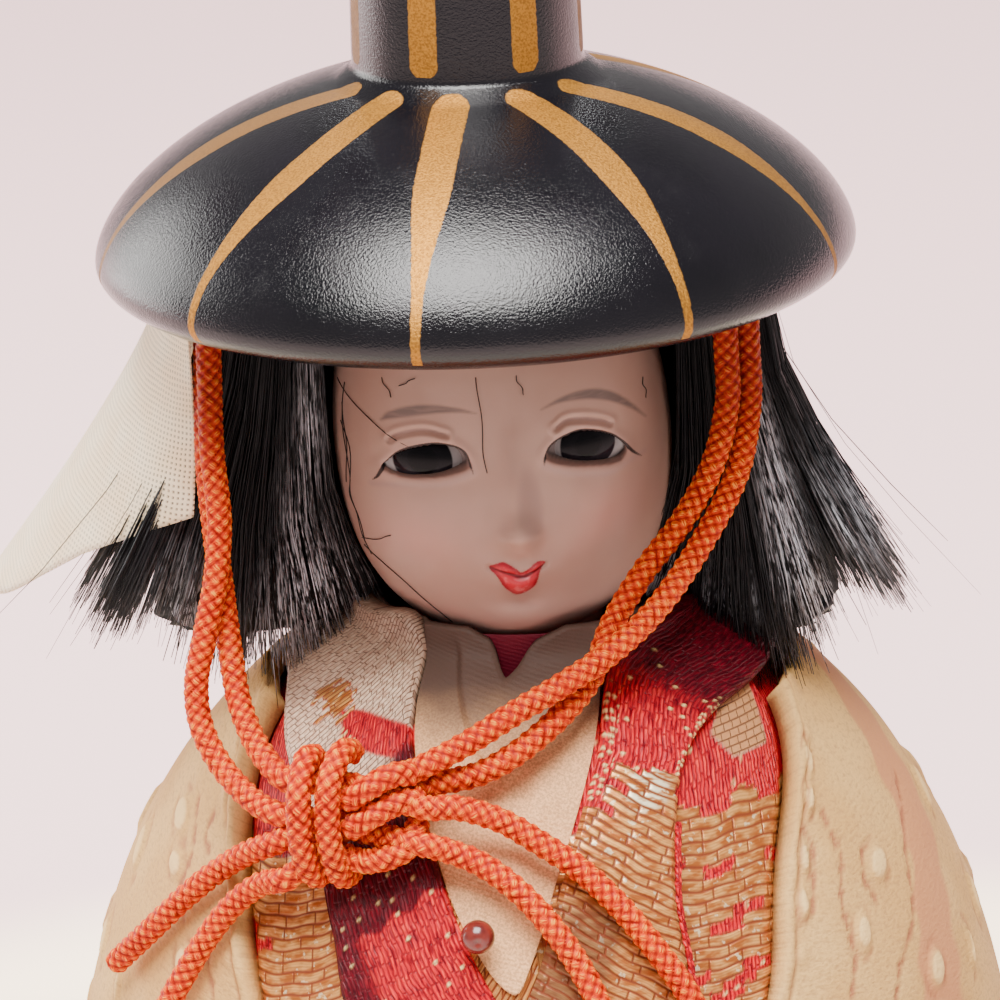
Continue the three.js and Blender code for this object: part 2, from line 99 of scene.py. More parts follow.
def hill(x, z, middle_x, middle_z, wide, tall):
    """A round hill of height 1: e to the minus of the squared distance, measured in its spreads."""
    return np.exp(-((x - middle_x) / wide) ** 2 - ((z - middle_z) / tall) ** 2)


def through(pairs, at):
    """A smooth line through [place, values...]: cubic pieces whose slopes are the neighbours' chords."""
    pairs = np.asarray(pairs, float)
    places, values = pairs[:, 0], pairs[:, 1:]
    slopes = np.empty_like(values)
    slopes[1:-1] = (values[2:] - values[:-2]) / (places[2:] - places[:-2])[:, None]
    slopes[0] = (values[1] - values[0]) / (places[1] - places[0])
    slopes[-1] = (values[-1] - values[-2]) / (places[-1] - places[-2])
    at = np.clip(np.asarray(at, float), places[0], places[-1])
    piece = np.clip(np.searchsorted(places, at, side="right") - 1, 0, len(places) - 2)
    span = (places[piece + 1] - places[piece])[..., None]
    t = (at - places[piece])[..., None] / span
    whole = (
        values[piece] * (2 * t**3 - 3 * t**2 + 1)
        + slopes[piece] * span * (t**3 - 2 * t**2 + t)
        + values[piece + 1] * (3 * t**2 - 2 * t**3)
        + slopes[piece + 1] * span * (t**3 - t**2)
    )
    return whole[..., 0] if whole.shape[-1] == 1 else whole


def stations(rows, at):
    """The same smooth line where the rows are evenly spaced over 0 to 1."""
    rows = np.asarray(rows, float)
    return through(np.column_stack([np.linspace(0, 1, len(rows)), rows]), at)


def spaced(*zones):
    """Places in rising order from zones of [start, end, count], so that some stretches are finer."""
    runs = [np.linspace(start, end, count, endpoint=False) for start, end, count in zones]
    return np.concatenate([*runs, [zones[-1][1]]])


def unit(vectors):
    """The vectors divided by their lengths."""
    return vectors / np.maximum(np.linalg.norm(vectors, axis=-1, keepdims=True), 1e-9)


# %% [markdown]
# ## Skins
#
# A skin is a closed mesh made of loops of points. A tube is a row of loops with a flat cap at
# each end: that is a cord, a turned hat, and also a cloth, whose loop runs along its outside
# and back along its inside. A ring joins its last loop to its first, as a collar does. Values
# such as a distance to a painted line ride along on the points, and the finishes read them.

# %% Skins and pieces
def tile(index, wrap_rows=False):
    """Quads between neighbouring point numbers; the loops are closed, and the rows too if asked."""
    index = np.concatenate([index, index[..., :1]], axis=-1)
    if wrap_rows:
        index = np.concatenate([index, index[..., :1, :]], axis=-2)
    corners = (index[..., :-1, :-1], index[..., :-1, 1:], index[..., 1:, 1:], index[..., 1:, :-1])
    return np.stack(corners, axis=-1).reshape(-1, 4)


def volume(points, faces):
    """Six times the enclosed volume: the sum of triple products over each face's fan of triangles."""
    total = 0.0
    for fan in faces:
        first = points[fan[:, 0]]
        for k in range(1, fan.shape[1] - 1):
            total += np.sum(first * np.cross(points[fan[:, k]], points[fan[:, k + 1]]))
    return total


class Skin:
    """A mesh in the making, in millimetres, with named values on its points."""

    def __init__(self):
        self.points, self.faces, self.values, self.count = [], [], {}, 0

    def tube(self, loops, ring=False, **values):
        """Adds loops of points, shaped (..., rows, points in a loop, 3), as closed skins facing out."""
        size = loops.shape[-2]
        index = np.arange(loops[..., 0].size).reshape(loops.shape[:-1])
        faces = [tile(index, ring)]
        if not ring:
            faces += [index[..., 0, ::-1].reshape(-1, size), index[..., -1, :].reshape(-1, size)]
        points = loops.reshape(-1, 3)
        if volume(points - points.mean(axis=0), faces) < 0:
            faces = [fan[:, ::-1] for fan in faces]
        self.points.append(points)
        self.faces += [fan + self.count for fan in faces]
        for name, value in values.items():
            whole = np.broadcast_to(value, loops.shape[:-1]).reshape(-1)
            self.values.setdefault(name, []).append((self.count, whole))
        self.count += len(points)
        return self

    def piece(self, name, finish, slot, *replaced):
        """Makes the mesh object in metres, rides it on the body and hides the CAD nodes it replaces; the
        slot is not used.
        """
        mesh = bpy.data.meshes.new(name)
        points = np.concatenate(self.points) * MM
        mesh.vertices.add(len(points))
        mesh.vertices.foreach_set("co", points.astype(np.float32).ravel())
        corners = np.concatenate([fan.ravel() for fan in self.faces])
        sizes = np.concatenate([np.full(len(fan), fan.shape[1]) for fan in self.faces])
        mesh.loops.add(len(corners))
        mesh.loops.foreach_set("vertex_index", corners.astype(np.int32))
        mesh.polygons.add(len(sizes))
        mesh.polygons.foreach_set("loop_start", (np.cumsum(sizes) - sizes).astype(np.int32))
        mesh.polygons.foreach_set("use_smooth", np.ones(len(sizes), bool))
        for key, runs in self.values.items():
            column = np.zeros(len(points), np.float32)
            for start, run in runs:
                column[start : start + len(run)] = run
            mesh.attributes.new(key, "FLOAT", "POINT").data.foreach_set("value", column)
        mesh.update(calc_edges=True)
        if mesh.validate():
            print(name, "had faces that needed repair")
        mesh.materials.append(finish)
        thing = bpy.data.objects.new(name, mesh)
        bpy.context.collection.objects.link(thing)
        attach(thing, "root")
        if replaced:
            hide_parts(*replaced)
        print(f"{name}: {int(np.sum(sizes - 2)):,} triangles")
        return thing


# %% [markdown]
# ## Finishes
#
# A finish is a material written as arithmetic. A Signal wraps one socket, so `1 - mask * 0.5`
# adds the Math nodes by itself. Every other node comes from `Finish.node`, which takes the
# node's type, its settings and the values or links of its sockets.

# %% Signals and finishes
class Signal:
    """One output socket that joins in arithmetic: each operation adds a Math node."""

    def __init__(self, finish, socket):
        self.finish, self.socket = finish, socket

    def __add__(self, other):
        return self.finish.maths("ADD", self, other)

    def __sub__(self, other):
        return self.finish.maths("SUBTRACT", self, other)

    def __rsub__(self, other):
        return self.finish.maths("SUBTRACT", other, self)

    def __mul__(self, other):
        return self.finish.maths("MULTIPLY", self, other)

    def __truediv__(self, other):
        return self.finish.maths("DIVIDE", self, other)

    def __pow__(self, other):
        return self.finish.maths("POWER", self, other)

    __radd__ = __add__
    __rmul__ = __mul__


class Finish:
    """A material under construction. Lengths are in millimetres."""

    def __init__(self, name):
        self.material = bpy.data.materials.new(name)
        self.material.use_nodes = True
        self.tree = self.material.node_tree
        self.tree.nodes.clear()

    def node(self, kind, settings=None, sockets=None, output=0):
        """Adds one node: its type, then its settings, then the values or links of its sockets."""
        node = self.tree.nodes.new("ShaderNode" + kind)
        for key, value in (settings or {}).items():
            setattr(node, key, value)
        for key, value in (sockets or {}).items():
            if isinstance(value, Signal):
                self.tree.links.new(value.socket, node.inputs[key])
            else:
                node.inputs[key].default_value = value
        return Signal(self, node.outputs[output])

    def maths(self, operation, *values):
        """One Math node."""
        return self.node("Math", {"operation": operation}, dict(enumerate(values)))

    def value(self, name):
        """A value that rides on the piece's points."""
        return self.node("Attribute", {"attribute_name": name}, output="Fac")

    def place(self):
        """The object's own coordinates, in metres, as a vector."""
        return self.node("TexCoord", output="Object")

    def axes(self):
        """The object's own x, y and z in millimetres."""
        split = self.node("SeparateXYZ", sockets={0: self.place()})
        return [Signal(self, output) * (1 / MM) for output in split.socket.node.outputs]

    def vector(self, x, y, z=0.0):
        """A vector out of three values, such as the places on a cloth, for a noise to read."""
        return self.node("CombineXYZ", sockets={0: x, 1: y, 2: z})

    def rise(self, signal, low, high):
        """0 below low, 1 above high, with a soft step between them."""
        settings = {"interpolation_type": "SMOOTHSTEP", "clamp": True}
        return self.node("MapRange", settings, {0: signal, 1: low, 2: high, 3: 0.0, 4: 1.0})

    def mix(self, factor, first, second):
        """The first colour where factor is 0, the second where it is 1."""
        settings = {"data_type": "RGBA", "clamp_factor": True}
        return self.node("Mix", settings, {0: factor, 6: first, 7: second}, output=2)

    def noise(self, size, detail=2.0, vector=None, roughness=0.5):
        """Cloudy noise around 0.5 whose grains are about size millimetres wide."""
        scale = 1 / size if vector else 1 / (size * MM)
        sockets = {"Scale": scale, "Detail": detail, "Roughness": roughness}
        sockets["Vector"] = vector or self.place()
        return self.node("TexNoise", None, sockets)

    def bump(self, height, depth):
        """A normal for a height signal from 0 to 1 that stands depth millimetres proud."""
        return self.node("Bump", None, {"Strength": 1.0, "Distance": depth * MM, "Height": height})

    def surface(self, **sockets):
        """Ends the tree in one Principled shader and returns the material."""
        named = {key.replace("_", " "): value for key, value in sockets.items()}
        shader = self.node("BsdfPrincipled", None, named)
        output = self.tree.nodes.new("ShaderNodeOutputMaterial")
        self.tree.links.new(shader.socket, output.inputs["Surface"])
        return self.material


def paint(red, green, blue):
    """A colour given as it looks on a screen, from 0 to 255, as the linear values a shader needs."""
    screen = np.array([red, green, blue]) / 255
    linear = np.where(screen > 0.04045, ((screen + 0.055) / 1.055) ** 2.4, screen / 12.92)
    return (*(float(c) for c in linear), 1.0)


# %% [markdown]
# ## The cords
#
# Four round braided silk cords come down from inside the hat, pass through the knot and end in
# cut tails. On the real object each is one length, so each is one tube here, from the hat to its
# cut end. Its skin is the braid itself: five strands wind one way and five the other, and where
# two cross, one lies on top. Modelling the crossings keeps the silhouette knobbly.

# %% Braided tubes
CORD_DIAMETER = 1.5
BRAID_STRANDS = 5
BRAID_ROW = 0.74
BRAID_RELIEF = 0.22
CORD_COLUMNS, CORD_STEP = 32, 0.12
CUT_ROUNDING = 0.35


def smooth_path(points, step):
    """A smooth line through the points, resampled at equal steps of its length, and that length."""
    points = np.asarray(points, float)
    knots = np.concatenate([[0], np.cumsum(np.linalg.norm(np.diff(points, axis=0), axis=1))])
    fine = through(np.column_stack([knots, points]), np.linspace(0, knots[-1], 40 * len(points)))
    run = np.concatenate([[0], np.cumsum(np.linalg.norm(np.diff(fine, axis=0), axis=1))])
    even = np.linspace(0, run[-1], int(np.ceil(run[-1] / step)) + 1)
    return np.stack([np.interp(even, run, fine[:, k]) for k in range(3)], axis=1), run[-1]


def round_path(path, radius, towards):
    """Loops round a path: centre + radius (cos a normal + sin a side).

    The normal is the given direction, made square to the path."""
    tangent = unit(np.gradient(path, axis=0))
    side = unit(np.cross(tangent, np.asarray(towards, float)))
    normal = np.cross(side, tangent)
    angle = np.linspace(0, 2 * np.pi, radius.shape[1], endpoint=False)[None, :, None]
    spokes = np.cos(angle) * normal[:, None] + np.sin(angle) * side[:, None]
    return path[:, None] + radius[..., None] * spokes


def braid(angle, along):
    """Height of the braid from 0 to 1, and the place across its top strand from 0 to 1.

    One set of strands follows a = 5 angle / 2 pi + along / row, the other b with a minus sign.
    The unit cells of (a, b) take turns: in half of them the first set is on top."""
    first = BRAID_STRANDS * angle / (2 * np.pi) + along / BRAID_ROW
    second = BRAID_STRANDS * angle / (2 * np.pi) - along / BRAID_ROW
    top = (np.floor(first) + np.floor(second)) % 2
    u, v = first % 1, second % 1
    across, length = np.where(top, u, v), np.where(top, v, u)
    height = np.sqrt(np.clip(1 - (2 * across - 1) ** 2, 0, 1)) * (1 - 0.6 * np.abs(2 * length - 1) ** 3)
    return height, across


def add_cord(skin, points, towards=(0, -1, 0)):
    """Adds a braided tube along the points and returns its smooth path and length, in millimetres."""
    path, length = smooth_path(points, CORD_STEP)
    along = np.linspace(0, length, len(path))[:, None]
    angle = np.linspace(0, 2 * np.pi, CORD_COLUMNS, endpoint=False)[None]
    height, across = braid(angle, along)
    end = np.minimum(along, length - along)
    rounded = np.sqrt(np.clip(1 - (1 - np.clip(end / CUT_ROUNDING, 0, 1)) ** 2, 0.04, 1))
    radius = (CORD_DIAMETER / 2 - BRAID_RELIEF * (1 - height)) * rounded
    skin.tube(round_path(path, radius, towards), lobe=height, fibre=across, along=along)
    return path, length


# %% The routes of the cords
RIGHT_INNER = [
    [11.6, -7.0, 80.6], [11.7, -7.0, 76.5], [11.7, -7.1, 73.8], [10.8, -7.4, 70.2], [8.9, -8.3, 67.1],
    [6.5, -9.6, 64.5], [4.6, -11.1, 62.0], [3.3, -12.8, 59.6], [1.4, -14.9, 58.1], [-1.0, -16.2, 56.6],
    [-3.3, -16.8, 55.6], [-5.9, -17.1, 55.2],
]
RIGHT_OUTER = [
    [12.9, -5.7, 80.6], [13.0, -5.9, 76.3], [13.0, -6.2, 73.4], [12.2, -7.0, 69.5], [9.9, -9.0, 65.9],
    [7.1, -11.6, 63.0], [4.4, -13.6, 61.3], [1.6, -15.2, 60.1], [-1.2, -16.2, 58.9], [-3.8, -17.0, 57.6],
    [-6.2, -17.6, 56.6],
]
LEFT_INNER = [
    [-17.4, -7.8, 80.3], [-17.5, -8.0, 76.8], [-17.6, -8.5, 72.6], [-17.4, -9.1, 68.6], [-17.8, -9.8, 65.2],
    [-18.6, -10.4, 62.0], [-19.2, -10.9, 59.4], [-19.0, -11.6, 57.0], [-17.8, -13.1, 55.0],
    [-16.1, -15.0, 53.8], [-14.6, -16.4, 53.5],
]
LEFT_OUTER = [
    [-17.6, -6.0, 80.3], [-17.8, -6.3, 76.6], [-18.0, -6.9, 71.6], [-17.8, -7.6, 67.2], [-17.5, -8.6, 63.6],
    [-17.2, -9.9, 60.8], [-16.8, -11.6, 58.6], [-16.0, -13.5, 57.0], [-15.0, -15.2, 56.0],
    [-13.9, -16.4, 55.5],
]
TAIL_LEFT_UPPER = [
    [-14.7, -16.7, 52.0], [-16.3, -15.4, 50.9], [-18.0, -13.9, 49.4], [-20.2, -12.7, 47.3],
    [-22.7, -11.4, 44.5], [-25.3, -9.3, 41.3],
]
TAIL_LEFT_LOWER = [
    [-14.2, -18.2, 50.4], [-15.8, -16.6, 49.4], [-17.5, -15.6, 47.8], [-19.2, -15.2, 45.6],
    [-20.7, -15.1, 43.2], [-22.0, -15.0, 40.9], [-23.0, -15.0, 38.5], [-23.7, -15.1, 36.0],
]
TAIL_RIGHT_UPPER = [
    [-6.4, -18.9, 54.6], [-4.6, -18.9, 54.5], [-2.2, -19.1, 53.7], [0.0, -19.6, 52.4], [2.1, -20.2, 51.0],
    [4.1, -21.1, 49.2], [6.1, -22.1, 46.8], [7.8, -22.8, 44.3], [8.9, -23.6, 41.6], [9.5, -24.2, 39.1],
]
TAIL_RIGHT_LOWER = [
    [-6.6, -19.4, 52.6], [-5.0, -19.5, 52.1], [-3.3, -19.9, 51.4], [-1.6, -20.7, 50.3], [-0.2, -21.5, 49.0],
    [1.1, -22.3, 47.4], [2.2, -23.1, 45.6], [3.0, -23.9, 43.8], [3.6, -24.7, 41.8], [4.0, -25.3, 40.0],
]
# Each cord: its upper stretch, its way through the knot, its tail and the tail's node.
CORDS = {
    "cord_right_inner": (
        RIGHT_INNER, [[-8.6, -17.3, 54.3], [-11.6, -17.5, 52.4]], TAIL_LEFT_LOWER, "tail_left_lower"),
    "cord_right_outer": (
        RIGHT_OUTER, [[-8.9, -17.7, 55.4], [-12.0, -17.2, 53.6]], TAIL_LEFT_UPPER, "tail_left_upper"),
    "cord_left_inner": (
        LEFT_INNER, [[-12.0, -17.0, 53.2], [-9.2, -18.2, 52.8]], TAIL_RIGHT_LOWER, "tail_right_lower"),
    "cord_left_outer": (
        LEFT_OUTER, [[-11.4, -17.2, 55.7], [-8.8, -18.2, 55.3]], TAIL_RIGHT_UPPER, "tail_right_upper"),
}


# %% The cords' finish
def cord_finish():
    """Orange silk, with painted shade deep red between the strands, a painted golden highlight on top of
    each, and painted shade, a deeper red, near the hat.
    """
    f = Finish("orange braided silk")
    lobe, fibre = f.value("lobe"), f.value("fibre")
    hair = f.noise(0.3, vector=f.vector(fibre * 2.0, f.value("along") * 0.9), detail=2.0)
    shade = f.mix(f.rise(f.noise(3.0), 0.35, 0.65), paint(226, 62, 0), paint(240, 84, 4))
    silk = f.mix(f.rise(hair, 0.35, 0.6), paint(196, 44, 10), shade)
    # Painted highlight: golden on the top of each strand.
    silk = f.mix(f.rise(hair, 0.4, 0.65) * f.rise(lobe, 0.7, 0.96), silk, paint(255, 158, 44))
    # Painted shade: deep red between the strands.
    colour = f.mix(f.rise(lobe, 0.32, 0.74), paint(150, 20, 6), silk)
    _, _, z = f.axes()
    # Painted shade: a deeper red high up, where the hat shades the cords.
    colour = f.mix(f.rise(z, 69.0, 75.0) * 0.6, colour, paint(110, 16, 20))
    threads = f.maths("SINE", fibre * (2 * np.pi * 4)) * 0.25 + 0.5
    normal = f.bump(threads * lobe, 0.02)
    return f.surface(Base_Color=colour, Roughness=0.45, Normal=normal, Specular_IOR_Level=0.1)


CORD_FINISH = cord_finish()


# %% Make the cords
def make_cords():
    """One tube from the hat to the cut end of each tail. Returns them with their paths and lengths."""
    made = []
    for name, (upper, inside, tail, tail_node) in CORDS.items():
        skin = Skin()
        path, length = add_cord(skin, upper + inside + tail)
        cord = skin.piece(name + "_cord", CORD_FINISH, "cord", name, tail_node)
        made.append((cord, path, length))
        print(f"{name}: {length:.1f} mm long")
    return made


cords = make_cords()

# %% [markdown]
# ## The knot
#
# The two pairs of cords are tied with an overhand knot: two wraps stand side by side across
# the strands that pass through. Each wrap is a short braided tube that starts and ends inside
# the bundle, so all of them can be one mesh.

# %% Knot
KNOT_WRAPS = [
    [
        [-12.3, -15.9, 56.7], [-12.9, -17.6, 57.2], [-13.3, -18.9, 55.9], [-13.4, -19.3, 53.9],
        [-13.2, -19.2, 51.9], [-12.7, -18.3, 50.5], [-12.2, -16.8, 50.2],
    ],
    [
        [-10.2, -16.2, 57.0], [-10.9, -18.0, 57.7], [-11.6, -19.3, 56.5], [-11.8, -19.7, 54.3],
        [-11.6, -19.6, 52.1], [-11.2, -18.7, 50.6], [-10.6, -17.2, 50.2],
    ],
    [[-10.9, -18.8, 55.0], [-9.6, -19.3, 56.0], [-8.2, -18.9, 56.6], [-6.8, -18.0, 56.3]],
    [[-10.9, -19.0, 53.4], [-9.4, -19.4, 54.4], [-7.9, -19.0, 55.0], [-6.4, -18.2, 54.9]],
    [
        [-11.2, -18.4, 51.8], [-9.9, -19.1, 51.6], [-8.4, -19.3, 51.9], [-7.1, -19.0, 52.6],
        [-6.8, -18.0, 53.6],
    ],
]


def make_knot():
    """All the wraps as one mesh, each a braided tube."""
    skin = Skin()
    for wrap in KNOT_WRAPS:
        add_cord(skin, wrap, towards=(1, -0.4, 0.2))
    return skin.piece("cord_knot_wraps", CORD_FINISH, "cord", "cord_knot")


knot = make_knot()


# %% [markdown]
# ## Each cord's thinned route
#
# The route of each cord is thinned to about 120 points in metres, and its length is put in metres;
# nothing uses them. Each cord ends in a bare cut.

ROUTE_POINTS = 120


def declare_cords():
    """Thins each cord's route to about 120 points and puts it and its length in metres; neither is used."""
    for cord, path, length in cords:
        line = path[:: max(len(path) // ROUTE_POINTS, 1)] * MM
        line = np.vstack([line, path[-1:] * MM])
        length * MM


declare_cords()

# %% [markdown]
# ## Lacquer
#
# The hat is turned wood under black lacquer. The lacquer is glossy but slightly grainy, so the
# light breaks up into sparkles. The gold strokes are painted: each is widest near the crown and
# runs out to a fine point at the rim. They are measured in the shader, which keeps their edges
# sharp at any mesh size.

# %% Lacquer finishes
HAT_X, RIM_Z, RIM_RADIUS, CROWN_RADIUS = -2.2, 82.0, 21.9, 6.6
# Each brim stroke: its bearing at the crown and at the rim, and how early it turns to the second.
BRIM_STROKES = [
    (-62, -77, 4), (-36, -45.5, 1), (-7.5, -9, 1), (22, 30.8, 4), (49, 66, 4), (112, 112, 1), (165, 165, 1),
    (-140, -140, 1),
]
STROKE_TOP, STROKE_START, OFF_STROKE = 7.4, 8.1, 50
CROWN_STROKES, CROWN_TURN = 7, 22
GOLD = paint(186, 130, 48)
GOLD_DEEP = paint(150, 102, 38)


def gold_strokes(f):
    """Signed distance in mm to the painted strokes, negative inside them.

    A stroke is round at its start by the crown, keeps its width of 2 mm half way down and then
    narrows to 0.5 mm at the rim, where it runs on over the edge."""
    x, y, z = f.axes()
    x = x - HAT_X
    radius = f.maths("SQRT", x * x + y * y)
    down = (radius - STROKE_TOP) / (RIM_RADIUS - STROKE_TOP)
    half_width = 1.05 - 0.8 * f.rise(down, 0.5, 1.03)
    start = f.maths("MAXIMUM", STROKE_START - radius, 0.0)
    nearest = None
    for first, last, power in BRIM_STROKES:
        left = f.maths("MAXIMUM", 1 - down, 0.0) ** power
        turn = left * np.radians(first - last) + np.radians(last)
        sine, cosine = f.maths("SINE", turn), f.maths("COSINE", turn)
        aside = x * cosine + y * sine
        behind = f.maths("LESS_THAN", x * sine - y * cosine, 0.0) * OFF_STROKE
        distance = f.maths("SQRT", aside * aside + start * start) + behind
        nearest = f.maths("MINIMUM", nearest, distance) if nearest else distance
    brim = nearest - half_width
    brim = brim + f.rise(z, RIM_Z + 10.6, RIM_Z + 10.8) * OFF_STROKE
    brim = brim + f.rise(RIM_Z - z, 1.0, 1.3) * OFF_STROKE
    azimuth = f.maths("ARCTAN2", x, 0 - y) * (180 / np.pi) + CROWN_TURN
    spacing = 360 / CROWN_STROKES
    aside = f.maths("PINGPONG", azimuth + 360, spacing / 2) * (np.pi / 180) * CROWN_RADIUS
    low = f.maths("MAXIMUM", RIM_Z + 11.7 - z, 0.0)
    crown = f.maths("SQRT", aside * aside + low * low) - 0.82
    crown = crown + f.rise(0 - z, -RIM_Z - 11.0, -RIM_Z - 10.8) * OFF_STROKE
    return f.maths("MINIMUM", brim, crown)


def hat_finish():
    """Deep black lacquer with an orange-peel grain, and gold strokes with slightly ragged edges.

    The strokes on the two sides are painted browner and less metallic, as painted shade where they face
    away from the light."""
    f = Finish("black lacquer with gold strokes")
    peel = f.noise(0.15, detail=2.0, roughness=0.6)
    pits = f.noise(0.11, detail=1.0)
    ragged = (f.noise(0.35, detail=2.0) - 0.5) * 0.16
    gold = 1 - f.rise(gold_strokes(f) + ragged, -0.05, 0.05)
    powder = f.noise(0.13, detail=2.0)
    x, y, _ = f.axes()
    turn = f.maths("ABSOLUTE", f.maths("ARCTAN2", x, 0 - y))
    # Painted shade on the side strokes: they turn browner and less metallic.
    far = f.rise(turn, 0.9, 1.25) * (1 - f.rise(turn, 1.8, 2.3))
    strokes = f.mix(f.rise(powder, 0.36, 0.6), GOLD_DEEP, GOLD)
    strokes = f.mix(far * 0.7, strokes, paint(92, 62, 34))
    black = f.mix(f.rise(f.noise(9.0), 0.3, 0.7), paint(11, 10, 14), paint(18, 16, 21))
    colour = f.mix(gold, black, strokes)
    rough = 0.17 + gold * 0.4 + f.rise(f.noise(2.5, detail=2.0), 0.55, 0.75) * 0.08
    height = f.rise(peel, 0.25, 0.75) + f.rise(pits, 0.3, 0.7) * 0.3 + gold * 0.5
    normal = f.bump(height, 0.012)
    return f.surface(Base_Color=colour, Roughness=rough, Metallic=gold * (0.8 - far * 0.5), Normal=normal,
                     Specular_IOR_Level=0.5)


def plinth_finish():
    """The same black lacquer without strokes."""
    f = Finish("plain black lacquer")
    grain = f.noise(0.25, detail=3.0)
    black = f.mix(f.rise(f.noise(12.0), 0.3, 0.7), paint(18, 16, 19), paint(30, 26, 28))
    rough = 0.22 + (f.noise(3.0, detail=3.0) - 0.5) * 0.12
    return f.surface(Base_Color=black, Roughness=rough, Normal=f.bump(grain, 0.012), Specular_IOR_Level=0.6,
                     Coat_Weight=0.3, Coat_Roughness=0.1)


# %% [markdown]
# ## The hat and the plinth
#
# Both are turned on a lathe, so both are a profile carried round an axis. The hat's profile goes
# from the hollow underside round the lip, over the dome and up the crown. The dome is a flattened
# quarter curve whose powers make it full at the rim. The plinth is a plain low disc, because the
# photograph doesn't show it.

# %% Turned pieces
def turned(profile, columns, middle_x=0.0):
    """Loops of a profile of [radius, height] turned round an upright axis."""
    angle = np.linspace(0, 2 * np.pi, columns, endpoint=False)
    radius, height = profile[:, :1], profile[:, 1:]
    loops = [middle_x + radius * np.sin(angle), -radius * np.cos(angle), height + 0 * angle]
    return np.stack(loops, axis=-1)


def arc(middle, radius, start, end, steps):
    """Points on a circle of the profile plane, angles in degrees from the outward direction."""
    turn = np.radians(np.linspace(start, end, steps))
    return np.column_stack([middle[0] + radius * np.cos(turn), middle[1] + radius * np.sin(turn)])


def hat_profile():
    """Underside, lip, domed brim, a small fillet and the tall crown, from the inside axis to the top."""
    underside = through([[0, 0.05, 5], [1, 10, 4.6], [2, 15.4, 2.4], [3, 17.9, 0.1], [3.4, 18.3, -1.1]],
                        np.linspace(0, 3.4, 18))
    turn = np.radians(np.linspace(0, 90, 16))
    lip = np.column_stack([between(18.6, RIM_RADIUS, np.sin(turn) ** 0.9), -1.8 * np.cos(turn) ** 0.9])
    turn = np.radians(np.linspace(0, 90, 60))[1:]
    dome = np.column_stack([
        RIM_RADIUS * np.clip(np.cos(turn), 0, 1) ** (2 / 1.8), 10.8 * np.sin(turn) ** (2 / 1.65)])
    dome = dome[dome[:, 0] > CROWN_RADIUS + 0.55]
    fillet = arc((CROWN_RADIUS + 0.5, 10.35 + 0.45), 0.5, 250, 180, 6)
    crown = [[0, 6.6, 11.6], [1, 6.52, 15], [2, 6.35, 19.4], [3, 5.9, 21.5], [4, 4.4, 22.6]]
    crown = through(crown + [[5, 2.4, 22.95], [6, 0.05, 23]], np.linspace(0, 6, 32))
    profile = np.vstack([underside, lip, dome, fillet, crown])
    return profile + [0, RIM_Z]


def make_hat():
    """The whole hat in one turned skin."""
    skin = Skin().tube(turned(hat_profile(), 208, HAT_X))
    return skin.piece("hat_lacquer", hat_finish(), "lacquer", "hat")


def make_plinth():
    """A disc with rounded edges."""
    radius, height, edge = 28.0, 6.0, 1.6
    side = np.vstack([
        [[0.05, 0], [12, 0], [radius - edge - 1, 0]],
        arc((radius - edge, edge), edge, -90, 0, 14),
        arc((radius - edge, height - edge), edge, 0, 90, 14),
        [[radius - edge - 1, height], [12, height], [0.05, height]],
    ])
    return Skin().tube(turned(side, 160)).piece("plinth_lacquer", plinth_finish(), "lacquer", "plinth")


hat = make_hat()
plinth = make_plinth()

# %% [markdown]
# ## The head
#
# The head is moulded and finished like polished shell, with inset glass eyes, and the brows,
# lash lines and lips are painted on. The form is a rounded column with a few soft hills for
# nose, lips and chin. Each painted line is kept as a distance to it in mm on the points of a
# fine grid, so the finish can give it a crisp or a feathered edge.

# %% Painted lines as distances
FAR = 9.0


def open_line(points, count=80):
    """A smooth line through the points, as many short straight pieces."""
    return stations(points, np.linspace(0, 1, count))


def closed_line(points, count=160):
    """A smooth line through the points and back to the first."""
    points = np.asarray(points, float)
    wrapped = np.vstack([points[-2:], points, points[:3]])
    places = np.arange(-2, len(points) + 3)
    return through(np.column_stack([places, wrapped]), np.linspace(0, len(points), count))


def line_distance(x, z, line):
    """Distance from each point to the nearest piece of a line, and the place along it from 0 to 1."""
    near = (x > line[:, 0].min() - 2) & (x < line[:, 0].max() + 2)
    near &= (z > line[:, 1].min() - 2) & (z < line[:, 1].max() + 2)
    start, step = line[:-1], np.diff(line, axis=0)
    point = np.stack([x[near], z[near]], axis=-1)[:, None]
    t = np.clip(((point - start) * step).sum(-1) / (step**2).sum(-1), 0, 1)
    gap = np.linalg.norm(point - start - t[..., None] * step, axis=-1)
    nearest = gap.argmin(axis=1)
    picked = np.arange(len(nearest))
    distance, place = np.full(x.shape, FAR), np.zeros(x.shape)
    distance[near] = gap[picked, nearest]
    place[near] = (nearest + t[picked, nearest]) / len(start)
    return distance, place


def stroke(x, z, points, half_widths):
    """Signed distance to a brush stroke: distance to its middle line minus its half width there."""
    distance, place = line_distance(x, z, open_line(points))
    return distance - stations(np.reshape(half_widths, (-1, 1)), place)


def opening(x, z, points):
    """Signed distance to a closed outline, negative inside it."""
    line = closed_line(points)
    distance, _ = line_distance(x, z, line)
    ax, az, bx, bz = line[:-1, 0], line[:-1, 1], line[1:, 0], line[1:, 1]
    px, pz = x[..., None], z[..., None]
    close = distance < FAR
    crossed = (az > pz[close]) != (bz > pz[close])
    with np.errstate(divide="ignore", invalid="ignore"):
        right = px[close] < (bx - ax) * (pz[close] - az) / (bz - az) + ax
    inside = np.zeros(x.shape, bool)
    inside[close] = (crossed & right).sum(-1) % 2 == 1
    return np.where(inside, -distance, distance)


